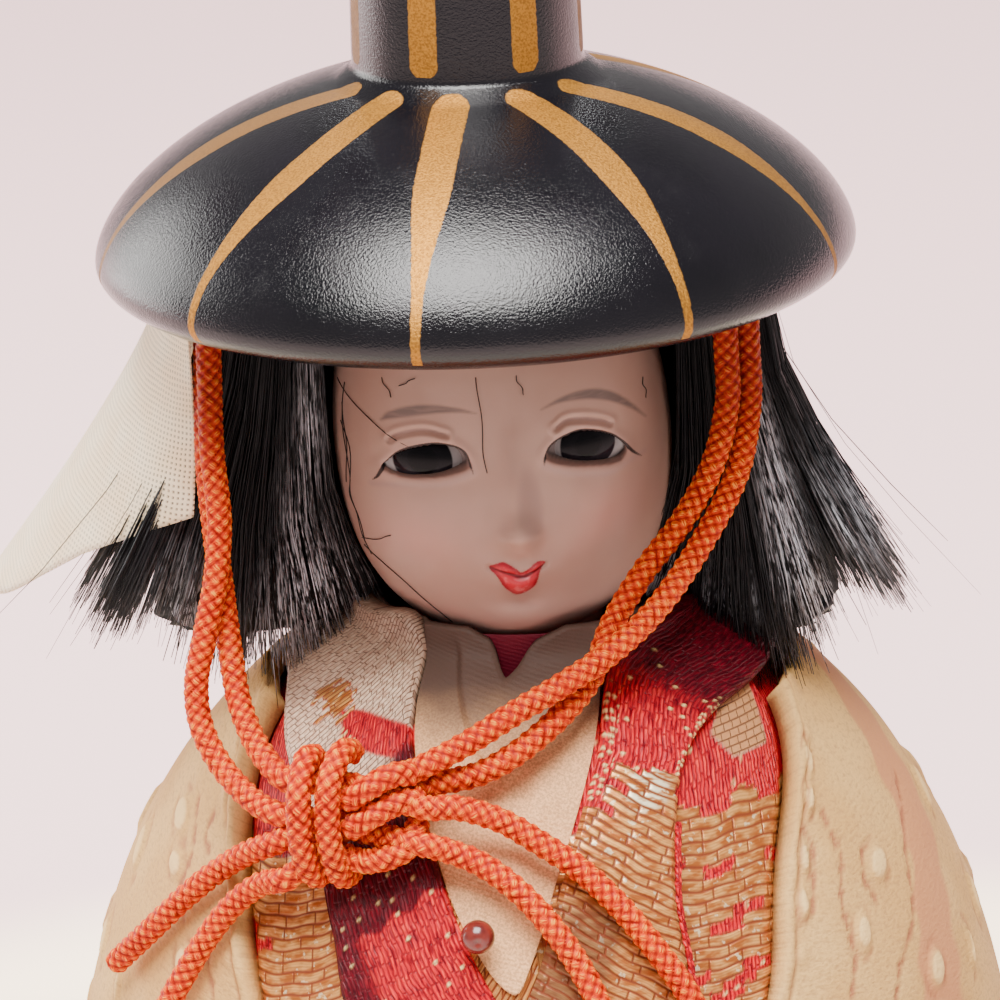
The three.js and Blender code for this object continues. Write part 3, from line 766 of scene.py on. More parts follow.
# %% Where the face is painted, in mm across and up from the middle of the head
EYE_OPENINGS = [
    [(-7.15, 0.9), (-6.75, 1.4), (-5.97, 2.0), (-4.35, 2.55), (-3.24, 2.52), (-2.6, 2.2), (-2.3, 1.37),
     (-3.4, 0.91), (-4.71, 0.66), (-6.11, 0.62)],
    [(2.1, 1.4), (2.48, 2.05), (3.33, 2.4), (4.33, 2.44), (5.64, 1.87), (6.48, 1.1), (6.75, 0.55),
     (6.2, 0.14), (4.78, 0.38), (3.28, 0.78)],
]
LASH_LINES = [
    [(-7.8, 0.0), (-7.5, 0.3), (-7.05, 1.0), (-5.97, 2.05), (-4.35, 2.6), (-3.24, 2.58), (-2.5, 2.24),
     (-2.22, 1.45), (-2.1, 0.95)],
    [(7.65, -0.2), (7.2, 0.25), (6.55, 1.1), (5.64, 1.92), (4.33, 2.49), (3.33, 2.45), (2.44, 2.1),
     (2.0, 1.4), (1.95, 1.0)],
]
LASH_WIDTHS = (0.02, 0.07, 0.11, 0.12, 0.13, 0.12, 0.1, 0.07, 0.02)
FOLD_WIDTHS = (0, 0.04, 0.05, 0.04, 0)
FOLD_LINES = [
    [(-6.64, 2.62), (-6.15, 3.0), (-5.11, 3.36), (-4.27, 3.42), (-3.4, 3.23)],
    [(2.8, 3.03), (3.41, 3.31), (4.28, 3.2), (5.37, 2.78), (5.93, 2.41)],
]
LOWER_LIDS = [
    [(-7.9, -0.25), (-6.9, -0.05), (-5.6, 0.1), (-4.2, 0.2), (-3.0, 0.6), (-2.1, 1.0)],
    [(1.9, 0.95), (3.0, 0.35), (4.5, -0.1), (5.8, -0.35), (6.8, -0.1), (7.8, 0.0)],
]
BROW_LINES = [
    [(-6.97, 3.72), (-6.3, 4.12), (-5.0, 4.52), (-3.7, 4.66), (-2.5, 4.6), (-1.6, 4.42)],
    [(2.05, 4.22), (3.05, 4.5), (4.1, 4.56), (5.15, 4.38), (6.19, 3.88), (7.25, 2.95), (8.15, 1.85)],
]
BROW_WIDTHS = [(0.06, 0.24, 0.31, 0.24, 0.13, 0.03), (0.03, 0.14, 0.25, 0.3, 0.27, 0.15, 0.03)]
LIPS = [
    (-1.73, -4.86), (-1.31, -4.62), (-0.85, -4.52), (-0.25, -4.91), (0.06, -5.2), (0.48, -5.01),
    (1.02, -4.69), (1.48, -4.83), (1.15, -5.32), (0.74, -6.29), (-0.22, -6.81), (-0.92, -6.23),
    (-1.32, -5.43),
]
PARTING_WIDTHS = (0.03, 0.05, 0.06, 0.05, 0.02)
PARTING = [(-1.73, -4.86), (-0.67, -5.21), (0.05, -5.5), (0.7, -5.3), (1.45, -5.0)]
IRIS = [(-4.85, 1.5, 1.68), (4.55, 1.45, 1.6)]

# %% The head's form
HEAD_PLACE = np.array([-1.1, 0.0, 70.2])
HEAD_TURN, HEAD_TIP = np.radians(2), np.radians(-3)
HEAD_HALF_WIDTH, HEAD_HALF_DEPTH, HEAD_RISE, HEAD_DROP = 9.9, 10.3, 14.2, 11.6
CHEEK_FULLNESS, SKULL_FULLNESS, JAW_TAPER = 0.55, 0.8, 0.21
EYE_X, EYE_Y, EYE_Z, EYE_TURN = 4.7, -7.2, 1.4, 27
# Each soft form of the face is a hill: across, up, spread across, spread up, height.
FACE_FORMS = [
    (0.2, -2.9, 0.95, 1.2, 1.0),
    (0.1, -0.4, 0.9, 2.6, 0.6),
    (-0.62, -2.95, 0.5, 0.45, 0.22),
    (1.02, -2.95, 0.5, 0.45, 0.22),
    (0.2, -4.15, 0.4, 0.55, -0.14),
    (0.0, -5.5, 1.9, 0.9, 0.3),
    (-0.6, -4.95, 0.6, 0.35, 0.16),
    (0.65, -4.98, 0.6, 0.35, 0.16),
    (-0.05, -6.0, 0.9, 0.5, 0.3),
    (-0.1, -7.35, 1.3, 0.5, -0.2),
    (0.0, -8.8, 2.4, 1.5, 0.4),
    (-4.9, 1.35, 2.4, 1.5, -0.4),
    (4.9, 1.35, 2.4, 1.5, -0.4),
]


def posed(points):
    """Turns head coordinates about z, tips them about y and moves them onto the neck."""
    s, c = np.sin(HEAD_TURN), np.cos(HEAD_TURN)
    about_z = np.array([[c, -s, 0], [s, c, 0], [0, 0, 1]])
    s, c = np.sin(HEAD_TIP), np.cos(HEAD_TIP)
    about_y = np.array([[c, 0, s], [0, 1, 0], [-s, 0, c]])
    return points @ (about_z @ about_y).T + HEAD_PLACE


def head_form():
    """x = half width slice jaw sin a, y = -half depth slice cos a minus the hills, z = height sin b.

    slice is cos b to a power that keeps the cheeks full, and jaw narrows the lowest part."""
    a = np.radians(spaced((-180, -66, 16), (-66, 66, 236), (66, 180, 16))[:-1])[None]
    b = np.radians(spaced((-89.9, -44, 22), (-44, 25, 160), (25, 89.9, 16)))[:, None]
    slice_ = np.cos(b) ** np.where(b > 0, SKULL_FULLNESS, CHEEK_FULLNESS)
    jaw = 1 - JAW_TAPER * np.clip(-np.sin(b), 0, 1) ** 4
    x = HEAD_HALF_WIDTH * slice_ * jaw * np.sin(a)
    z = np.where(b > 0, HEAD_RISE, HEAD_DROP) * np.sin(b) + 0 * a
    y = -HEAD_HALF_DEPTH * slice_ * np.cos(a)
    front = ease(np.cos(a), 0, 0.3) + 0 * z
    for across, up, wide, tall, height in FACE_FORMS:
        y = y - front * height * hill(x, z, across, up, wide, tall)
    return x, y, z, front


def make_head():
    """The form with each painted line's distance on its points. The lines also press the form a little:
    the eye openings go in by 1 mm, the lids stand up beside them, and the lips are proud."""
    x, y, z, front = head_form()

    def nearest(distances):
        return np.where(front > 0.5, np.minimum.reduce(distances), FAR)

    lid = nearest([opening(x, z, line) for line in EYE_OPENINGS])
    lash = nearest([stroke(x, z, line, LASH_WIDTHS) for line in LASH_LINES])
    fold = nearest([stroke(x, z, line, FOLD_WIDTHS) for line in FOLD_LINES])
    under = nearest([stroke(x, z, line, (0.0, 0.0)) for line in LOWER_LIDS])
    brow = nearest([stroke(x, z, line, widths) for line, widths in zip(BROW_LINES, BROW_WIDTHS)])
    lips = nearest([opening(x, z, LIPS)])
    parting = nearest([stroke(x, z, PARTING, PARTING_WIDTHS)])
    blush = hill(x, z, -5.6, -3.2, 2.4, 1.8) + hill(x, z, 5.2, -2.8, 2.4, 1.8)
    y = y + 1.0 * ease(-lid, -0.03, 0.12)
    y = y - 0.1 * np.exp(-((lid - 0.25) / 0.3) ** 2) * (lid > 0)
    y = y + 0.09 * np.exp(-(np.clip(fold, 0, None) / 0.13) ** 2)
    y = y - 0.1 * np.exp(-((fold - 0.3) / 0.16) ** 2) * (lid > 0)
    y = y - 0.16 * ease(-lips, -0.05, 0.5) + 0.16 * np.exp(-(np.clip(parting, 0, None) / 0.14) ** 2)
    painted = dict(lid=lid, lash=lash, fold=fold, under=under, brow=brow, lips=lips, parting=parting)
    painted |= dict(blush=blush, up=z, across=x)
    skin = Skin().tube(posed(np.stack([x, y, z], axis=-1)), **painted)
    neck = np.array([[0.05, 57.5], [4.6, 57.5], [5, 57.9], [5, 64], [0.05, 64.4]])
    far = {name: FAR for name in painted if name != "blush"}
    skin.tube(turned(neck, 64, HEAD_PLACE[0] / 2) + [0, 0.4, 0], blush=0, **far)
    return skin.piece("head_moulded", face_finish(), "face", "head")


# %% [markdown]
# ### The face's paint
#
# The shell-white skin is one warm colour with slow clouds in it. Over it come painted shade beside
# the nose and soft grey lines under the eyes, then the brows, lashes and lips, in the order in which
# a painter lays them, and grey painted shade inside the eye openings. Each is a mix whose factor is
# a step in the distance to its line. Painted light, stronger lower down, makes the chin paler.

# %% The face's finish
def face_finish():
    """Shell-white skin with a little depth, what the painter's brush adds, and painted shade and light on
    the nose, chin and eye openings.
    """
    f = Finish("polished shell-white skin")
    streak = f.noise(0.5, vector=f.vector(f.value("across") * 0.35, f.value("up") * 2.0), detail=3.0)
    fine = f.noise(0.09, detail=2.0)
    skin = f.mix(f.rise(f.noise(5.0), 0.35, 0.65), paint(184, 146, 130), paint(193, 156, 140))
    skin = f.mix(f.value("blush") * 0.25, skin, paint(236, 160, 146))
    up, across = f.value("up"), f.value("across")
    # Painted shade down one side of the nose.
    ridge = (across - 0.9) * (across - 0.9) * 1.2 + (up + 1.2) * (up + 1.2) * 0.14
    skin = f.mix((1 - f.rise(ridge, 0.1, 1.1)) * 0.42, skin, paint(150, 122, 114))
    # Painted light: the face turns paler towards the chin.
    skin = f.mix((1 - f.rise(up, -11.0, -5.0)) * 0.55, skin, paint(232, 192, 178))
    lid = f.value("lid")
    skin = f.mix((1 - f.rise(lid, 0.0, 0.6)) * 0.3, skin, paint(200, 154, 142))
    skin = f.mix((1 - f.rise(f.value("under"), 0.0, 0.32)) * 0.5, skin, paint(172, 142, 134))
    skin = f.mix((1 - f.rise(f.value("fold"), 0.0, 0.1)) * 0.6, skin, paint(136, 102, 94))
    brow = f.value("brow") + (streak - 0.5) * 0.12
    hair = (1 - f.rise(brow, -0.14, 0.1)) * (f.rise(streak, 0.3, 0.6) * 0.25 + 0.75)
    skin = f.mix(hair * 0.95, skin, paint(116, 98, 92))
    lash = 1 - f.rise(f.value("lash") + (fine - 0.5) * 0.05, -0.03, 0.04)
    skin = f.mix(lash * 0.95, skin, paint(30, 22, 24))
    # Painted shade: grey inside each eye opening, round the glass.
    inside = 1 - f.rise(lid, -0.12, 0.0)
    skin = f.mix(inside, skin, paint(120, 104, 100))
    lips = f.value("lips") + (fine - 0.5) * 0.1
    red = 1 - f.rise(lips, -0.04, 0.06)
    rim = f.rise(lips, -0.3, -0.05)
    body = f.mix(f.rise(f.noise(0.6), 0.5, 0.72), paint(216, 46, 62), paint(240, 108, 114))
    body = f.mix(rim * 0.75, body, paint(146, 18, 36))
    body = f.mix(1 - f.rise(f.value("parting"), -0.02, 0.1), body, paint(110, 10, 24))
    colour = f.mix(red, skin, body)
    rough = 0.42 - red * 0.16 + lash * 0.1 + (f.noise(2.0) - 0.5) * 0.08
    normal = f.bump(fine, 0.004)
    return f.surface(Base_Color=colour, Roughness=rough, Normal=normal, Subsurface_Weight=0.12,
                     Subsurface_Radius=(1.0, 0.5, 0.35), Subsurface_Scale=0.0012, Specular_IOR_Level=0.4)


# %% [markdown]
# ### The eyes
#
# Real glass eyes are set in from behind, so each is a separate ellipsoid behind its opening. The
# iris is a distance on its points, like the painted lines. A dark gloss reads as glass, and real
# transparency would only show the empty head.

# %% Glass eyes
EYE_HALVES = (2.7, 1.2, 1.7)


def eye_finish():
    """Grey-white glass with a dark brown iris and pupil under a clear gloss, the iris painted lighter grey
    towards its bottom as a painted reflection.
    """
    f = Finish("dark inset glass")
    iris, x = f.value("iris"), f.value("iris_depth")
    white = f.mix(f.rise(iris, 0.0, 0.9), paint(150, 146, 146), paint(188, 184, 182))
    # Painted reflection: the iris is lighter grey towards its bottom.
    ring = f.mix(f.rise(x, 0.0, 1.0), paint(14, 12, 16), paint(38, 34, 40))
    dark = f.mix(f.rise(iris, -1.0, -0.72), paint(6, 5, 8), ring)
    colour = f.mix(f.rise(iris, -0.05, 0.06), dark, white)
    return f.surface(Base_Color=colour, Roughness=0.1, Specular_IOR_Level=0.14)


def make_eye(name, side, iris, finish, node):
    """An ellipsoid turned outwards by 27 degrees; the iris is a disc measured on its front."""
    a = np.linspace(0, 2 * np.pi, 72, endpoint=False)[None]
    b = np.radians(np.linspace(-89.5, 89.5, 48))[:, None]
    local = np.stack([np.cos(b) * np.sin(a), -np.cos(b) * np.cos(a), np.sin(b) + 0 * a], axis=-1)
    local = local * EYE_HALVES
    s, c = np.sin(np.radians(side * EYE_TURN)), np.cos(np.radians(side * EYE_TURN))
    local = local @ np.array([[c, -s, 0], [s, c, 0], [0, 0, 1]]).T + [side * EYE_X, EYE_Y, EYE_Z]
    across, up, radius = iris
    away = np.hypot(local[..., 0] - across, local[..., 2] - up)
    front = ease(-np.cos(b) * np.cos(a), -0.3, 0.0)
    distance = away - radius + 4 * front
    # How far below the iris's middle, for the painted reflection on the iris.
    depth = ease(up - local[..., 2], -0.4, 1.2)
    skin = Skin().tube(posed(local), iris=distance, iris_depth=depth)
    return skin.piece(name, finish, "eye_glass", node)


head = make_head()
EYE_FINISH = eye_finish()
eye_left = make_eye("eye_left_glass", -1, IRIS[0], EYE_FINISH, "eye_left")
eye_right = make_eye("eye_right_glass", 1, IRIS[1], EYE_FINISH, "eye_right")

# %% [markdown]
# ## The hair
#
# The wig is black silk thread, cut blunt. A solid base holds its volume and keeps it dark, and
# thousands of thin three-sided threads run over it, gathered into locks that end unevenly.
# All threads are computed together as one array, from a seeded random generator.

# %% The wig's space: radius and height of its outside and its inside, from the top to the ends
HAIR_OUTSIDE = [
    [3, 86.2], [10.5, 85.4], [14, 82.4], [15.6, 79], [17, 74.5], [19.6, 69.5], [22.2, 65], [24.6, 61],
]
HAIR_INSIDE = [
    [3, 85.2], [7, 84], [9.4, 81.5], [10.5, 78], [10.5, 73.5], [10.3, 68.5], [9.2, 64.6], [7.8, 61.3],
]
HAIR_RANDOM = np.random.default_rng(31)


def hair_point(angle, down, depth):
    """A point of the wig: angle from the front, 0 to 1 down to its ends, 0 outside to 1 inside.

    Past the ends, the profiles run on in their last direction. On the viewer's right the wig is
    up to 1.3 mm fuller a third of the way down."""
    def run_on(profile):
        profile = np.asarray(profile, float)
        last = (profile[-1] - profile[-2]) * (len(profile) - 1)
        return stations(profile, down) + np.clip(down - 1, 0, None)[..., None] * last

    outer, inner = run_on(HAIR_OUTSIDE), run_on(HAIR_INSIDE)
    radius, z = np.moveaxis(between(outer, inner, depth[..., None]), -1, 0)
    middle = between(HAT_X, HEAD_PLACE[0], depth)
    turn = np.radians(angle)
    radius = radius + 1.3 * hill(down, 0, 0.36, 0, 0.24, 1) * (1 - depth) * ease(np.sin(turn), 0.3, 0.9)
    return np.stack([middle + radius * np.sin(turn), -radius * np.cos(turn), z], axis=-1)


# %% Where the silk gets a painted highlight
def silky(side, depth, down):
    """Where the threads get a painted highlight, from 0 to 1: patches over the depth of the wig and down
    it.
    """
    left = hill(depth, down, 0.87, 0.62, 0.08, 0.08) + hill(depth, down, 0.76, 0.76, 0.07, 0.07)
    left = left + hill(depth, down, 0.86, 0.97, 0.15, 0.08) + hill(depth, down, 0.7, 1.06, 0.12, 0.09)
    left = left + 0.4 * hill(depth, down, 0.26, 0.92, 0.11, 0.08)
    right = np.exp(-((depth - 0.3 - 0.06 * np.sin(down * 9)) / 0.085) ** 2) * ease(down, 0.48, 0.62)
    right = right + 0.7 * hill(depth, down, 0.04, 0.86, 0.06, 0.1)
    return np.clip(np.where(np.asarray(side) < 0, left, right), 0, 1)


def hair_finish(name, dull):
    """Near-black silk: fine grey streaks along the threads, and a nearly white painted highlight where they
    catch the light.
    """
    f = Finish(name)
    streaks = f.noise(0.5, vector=f.vector(f.value("thread"), f.value("down") * 5.0), detail=3.0)
    across_down = f.vector(f.value("thread") * 0.6 + 7.0, f.value("down") * 16.0)
    broken = f.noise(0.5, vector=across_down, detail=2.0)
    shine = f.value("silky") * f.rise(streaks + (broken - 0.5) * 0.9, 0.38, 0.6)
    colour = f.mix(f.rise(streaks, 0.45, 0.8), paint(8, 9, 12), paint(30, 30, 36))
    # Painted highlight: nearly white where the mask asks for it.
    colour = f.mix(shine, colour, paint(238, 238, 246))
    rough = 0.4 + dull + (streaks - 0.5) * 0.15
    return f.surface(Base_Color=colour, Roughness=rough, Specular_IOR_Level=0.4)


# %% The wig's base
def make_hair_base():
    """A closed skin inside the wig's volume, ribbed finely like combed thread.

    Its loop runs round the outside at one depth, in across one front face, back along the inside
    and out across the other front face. Below, the loop closes in towards the threads' ends."""
    fall = np.linspace(0.02, 0.97, 54)[:, None]
    close = np.linspace(0.1, 1, 12)[:, None]
    gather = np.concatenate([0 * fall, close])
    down = np.concatenate([fall, 0.97 + 0.12 * close**0.8])
    opening_angle = between(84, 79, ease(down, 0.3, 1)) + 4 * gather**2
    shallow = between(0.2 + 0.1 * ease(down, 0.4, 0.9), 0.6, gather**2)
    deep = between(0.98, 0.68, gather**2)
    run, face, back = np.linspace(0, 1, 240)[None], np.linspace(0, 1, 60)[None], np.linspace(1, 0, 50)[None]
    closing_angle = 360 - opening_angle
    angle = np.concatenate([
        between(opening_angle, closing_angle, run), closing_angle + 0 * face,
        between(opening_angle, closing_angle, back), opening_angle + 0 * face], axis=1)
    depth = np.concatenate([
        shallow + 0 * run, between(shallow, deep, face),
        deep + 0 * back, between(deep, shallow, face)], axis=1)
    side = np.where(angle > 180, -1, 1)
    ribs = np.sin(angle * 1.9 + 3 * np.sin(down * 4)) + 0.7 * np.sin(angle * 4.3 + 9 * np.sin(angle * 0.21))
    on_face = (np.abs(angle - opening_angle) < 0.01) | (np.abs(angle - closing_angle) < 0.01)
    combed = np.sin(depth * 34 + 2 * np.sin(down * 5)) + 0.6 * np.sin(depth * 81 + 3 * np.sin(down * 7))
    angle = angle + side * np.where(on_face, 1.1 * combed * ease(down, 0, 0.3), 0)
    depth = depth + np.where(on_face, 0, 0.035 * ribs * ease(down, 0, 0.3))
    down = down + 0.07 * ease(down, 0.97, 1.09) * (side > 0)
    # Painted highlight: slow patches on the wig's outside, and on its front faces the placed patches.
    outside = 0.5 * ease(np.sin(angle * 0.13) * np.sin(down * 8), 0.5, 0.9)
    shine = np.where(on_face, silky(-side, depth, down), outside)
    thread = angle * 3 + depth * 80
    skin = Skin().tube(hair_point(angle, down + 0 * angle, depth), thread=thread, down=down, silky=shine)
    return skin.piece("hair_base", hair_finish("packed black silk", 0.12), "hair", "hair")


# %% The threads
THREAD_STEPS, THREAD_TOP, LOCK_WIDTH = 6, 0.3, 5.5


def make_threads(name, count, side, stray, finish):
    """Threads from under the hat to the ends on one side of the head.

    Each keeps its own angle and depth, leans towards its lock's middle as it falls, and wanders
    by two slow waves that grow downwards. Those that start about halfway in are the longest.
    Stray threads wander more and are thinner."""
    random = HAIR_RANDOM
    top = random.uniform(0, 1, (count, 1))
    root = between(73, 180, top**1.7)
    lock = (np.floor(root / LOCK_WIDTH) + 0.5) * LOCK_WIDTH + random.normal(0, 0.6, (count, 1))
    near_outside = random.uniform(0, 1, (count, 1)) < 0.45
    depth = np.where(near_outside, random.beta(0.8, 3.0, (count, 1)), random.uniform(0.05, 1, (count, 1)))
    lock_end = np.sin(lock * 2.1) * 0.018 + np.sin(lock * 0.9 + 1) * 0.012
    lock_end = lock_end + 0.02 * np.sin(depth * 19 + side)
    extra, deepest, spread = (0.2, 0.66, 0.3) if side < 0 else (0.27, 0.58, 0.24)
    longer = extra * np.exp(-((depth - deepest) / spread) ** 2)
    longer = longer - 0.05 * hill(depth, 0, 0.27, 0, 0.06, 1)
    end = 0.99 + longer + lock_end + random.normal(0, 0.014 + 0.05 * stray, (count, 1))
    end = end - 0.05 * random.uniform(0, 1, (count, 1)) ** 4
    down = between(THREAD_TOP, end, np.linspace(0, 1, THREAD_STEPS)[None])
    phase, pace = random.uniform(0, 2 * np.pi, (2, count, 1)), random.uniform(2, 6, (2, count, 1))
    wave = np.sin(down * pace[0] + phase[0]) + 0.5 * np.sin(down * pace[1] * 2 + phase[1])
    grown = np.clip(down - THREAD_TOP, 0, 2)
    pull = 0.5 * ease(down, 0.55, 1.0)
    angle = root + (lock - root) * pull + wave * grown**1.5 * (1.4 + 5 * stray)
    opening_angle = between(78, 72, ease(down, 0.3, 1))
    opening_angle = opening_angle - 12 * ease(depth, 0.4, 0.75) * ease(down, 0.8, 1.1)
    uneven = 2 * random.uniform(-1, 1, (count, 1)) * (0.5 + 2 * stray)
    angle = np.maximum(angle, opening_angle - 1.5 + uneven)
    lift = random.normal(0, 0.03 + 0.12 * stray, (count, 1)) * grown
    depth = np.clip(depth + lift + 0.03 * wave * grown, -0.06 - 0.2 * stray, 1.0)
    path = hair_point(side * angle, down, depth)
    tangent = unit(np.gradient(path, axis=1))
    outwards = unit(path * [1, 1, 0] - [HAT_X, 0, 0])
    aside = unit(np.cross(tangent, outwards))
    normal = np.cross(aside, tangent)
    thick = (0.045 - 0.017 * stray) * random.uniform(0.7, 1.3, (count, 1)) * (1 - 0.5 * (down > end - 0.02))
    spin = random.uniform(0, 2 * np.pi, (count, 1, 1)) + np.arange(3) * 2 * np.pi / 3
    ring = np.cos(spin)[..., None] * normal[:, :, None] + np.sin(spin)[..., None] * aside[:, :, None]
    loops = path[:, :, None] + thick[..., None, None] * ring
    shade = random.uniform(0, 400, (count, 1, 1))
    # Painted highlight on the threads, fading out behind 95 to 105 degrees.
    shine = (silky(side, depth, down) * (1 - ease(angle, 95, 105)))[..., None]
    skin = Skin().tube(loops, thread=shade, down=down[..., None], silky=shine)
    return skin.piece(name, finish, "hair")


hair_base = make_hair_base()
THREAD_FINISH = hair_finish("black silk threads", 0.0)
threads_left = make_threads("hair_threads_left", 2700, -1, 0.0, THREAD_FINISH)
threads_right = make_threads("hair_threads_right", 2700, 1, 0.0, THREAD_FINISH)
strays_left = make_threads("hair_strays_left", 200, -1, 1.0, THREAD_FINISH)
strays_right = make_threads("hair_strays_right", 200, 1, 1.0, THREAD_FINISH)

# %% [markdown]
# ### Loose threads
#
# A few threads have come out of the wig and lie on the face. They follow the same form as the
# head, a little above it, so none of them sinks in.

# %% The loose threads, by places across and up the head in mm
LOOSE_THREADS = [
    [(-1.37, 6.4), (-1.37, 4.6), (-1.39, 2.6), (-1.35, 1.0)],
    [(-9.2, 4.9), (-8.58, 4.26), (-7.49, 3.52), (-6.4, 2.78), (-5.5, 2.3)],
    [(-6.73, 6.1), (-6.2, 5.1)], [(-4.86, 6.3), (-5.7, 5.8)], [(0.79, 6.3), (1.2, 5.2)],
    [(8.12, 4.1), (8.3, 2.9)],
    [(-8.68, -4.85), (-7.58, -5.65), (-6.29, -6.74), (-5.19, -7.87), (-4.17, -9.1)],
    [(-8.84, -4.4), (-8.0, -3.9), (-7.1, -3.3)],
    [(-9.1, 3.84), (-9.3, 2.2), (-9.1, -0.4), (-9.2, -1.7), (-8.9, -2.9), (-8.7, -4.6)],
    [(-9.3, 2.7), (-9.0, 1.2), (-9.2, -1.4), (-8.9, -2.7), (-8.8, -4.2), (-8.4, -5.3)],
    [(-8.79, 5.05), (-9.2, 3.0), (-9.1, 1.1), (-9.4, -1.0)],
]


def face_front(x, z):
    """y of the head's front at places across and up, from the same slices, jaw and hills."""
    up = np.clip(z / np.where(z > 0, HEAD_RISE, HEAD_DROP), -1, 1)
    slice_ = np.sqrt(1 - up**2) ** np.where(z > 0, SKULL_FULLNESS, CHEEK_FULLNESS)
    width = HEAD_HALF_WIDTH * slice_ * (1 - JAW_TAPER * np.clip(-up, 0, 1) ** 4)
    y = -HEAD_HALF_DEPTH * slice_ * np.sqrt(np.clip(1 - (x / width) ** 2, 0, 1))
    for across, height, wide, tall, out in FACE_FORMS:
        y = y - out * hill(x, z, across, height, wide, tall)
    return y


def make_loose_threads():
    """Each thread as a thin four-sided tube on the face."""
    skin = Skin()
    for points in LOOSE_THREADS:
        line = open_line(points, 24)
        wander = 0.06 * np.sin(np.linspace(0, 9, 24) + len(points))
        x, z = line[:, 0] + wander, line[:, 1]
        path = posed(np.stack([x, face_front(x, z) - 0.08, z], axis=-1))
        skin.tube(round_path(path, np.full((24, 4), 0.028), (0, -1, 0)), thread=0, down=0, silky=0)
    return skin.piece("hair_loose_threads", THREAD_FINISH, "hair")


loose_threads = make_loose_threads()

# %% [markdown]
# ## The clothes
#
# The robes are cut from real brocade and crepe and glued round the padded body. Each one is a
# patch of the body's surface between two edge lines, moved along the normal: outwards for the
# relief of its weave, inwards for its thickness. Its loop runs along the outside and back inside.

# %% The body's surface
BODY_RADIUS, BODY_DEPTH, BELLY_Z, BODY_RISE, BODY_DROP = 29.2, 0.92, 24.0, 38.4, 24.9
COLLAR_RADIUS = 10.6
ROBE_INSIDE, ROBE_INNER_COLUMNS = 1.45, 26


def body_radius(z):
    """Two half ellipses: 29.2 times the root of 1 - ((z - 24) / h) squared, h 38.4 above and 24.9 below."""
    reach = np.where(z > BELLY_Z, BODY_RISE, BODY_DROP)
    return BODY_RADIUS * np.sqrt(np.clip(1 - ((z - BELLY_Z) / reach) ** 2, 0, None))


def on_body(angle, z, depth=0.0):
    """A point of the body at an angle in degrees and a height, moved in along the normal by depth."""
    slope = -(BODY_RADIUS**2) * (z - BELLY_Z) / np.where(z > BELLY_Z, BODY_RISE, BODY_DROP) ** 2
    bare = body_radius(z)
    gap = bare - COLLAR_RADIUS
    soft = np.sqrt(gap**2 + 0.4)
    radius = (bare + COLLAR_RADIUS + soft) / 2
    lean = slope / np.maximum(bare, 0.5) * (1 + gap / soft) / 2
    turn = np.radians(angle)
    x, y = radius * np.sin(turn), -BODY_DEPTH * radius * np.cos(turn)
    normal = unit(np.stack([x, y / BODY_DEPTH**2, -radius * lean + 0 * turn], axis=-1))
    return np.stack([x, y, z + 0 * turn], axis=-1) - normal * np.broadcast_to(depth, x.shape)[..., None]


def cloth_loops(outer, inner):
    """Closed loops of a cloth: along its outside, then back along its inside."""
    return np.concatenate([outer, inner[:, ::-1]], axis=1)


def carried(outer, inner_columns):
    """A value on the outside, carried round to the inside by its two edges."""
    inner = between(outer[:, :1], outer[:, -1:], np.linspace(0, 1, inner_columns)[None])
    return np.concatenate([outer, inner[:, ::-1]], axis=1)


# %% [markdown]
# ### Brocade
#
# Brocade is satin of fine red threads, with flat gold strips that pass over some of them in
# floats, like long bricks. A picture of it would need an image, so it is worked out: the relief
# comes from the place on the cloth in mm, and the finish draws the same floats in colour.
# A motif's edge steps from float to float, because gold is decided at each float's middle.

# %% Brocade weave
def scattered(a, b, salt):
    """A number from 0 to 1 for each pair of whole numbers: the fraction of a steep sine."""
    return (np.sin(a * 127.1 + b * 311.7 + salt * 74.7) * 43758.5453) % 1


def floats(along, across, pitch, length, wander):
    """Strips laid like bricks: height of the strip from 0 to 1, and the middle of each float."""
    bent = along + wander * (0.12 * np.sin(across * 1.1) + 0.08 * np.sin(across * 2.7 + along))
    row = bent / pitch
    line = np.floor(row)
    shift = 0.37 * line + 0.2 * np.sin(line * 2.3)
    column = across / length + shift
    rounded = np.sqrt(np.clip(1 - (2 * (row % 1) - 1) ** 2, 0, 1))
    strip = rounded * (1 - np.abs(2 * (column % 1) - 1) ** 8)
    return strip, (line + 0.5) * pitch, (np.floor(column) + 0.5 - shift) * length


def specks(along, across, pitch, share):
    """Tiny gold knots: one in some cells of a square grid, each 0.2 mm wide and shifted in its cell."""
    row, column = np.floor(along / pitch), np.floor(across / pitch)
    middle_along = (row + 0.3 + 0.4 * scattered(row, column, 1)) * pitch
    middle_across = (column + 0.3 + 0.4 * scattered(row, column, 2)) * pitch
    away = np.hypot(along - middle_along, (across - middle_across) / 1.4)
    return (1 - ease(away, 0.05, 0.15)) * (scattered(row, column, 3) < share)


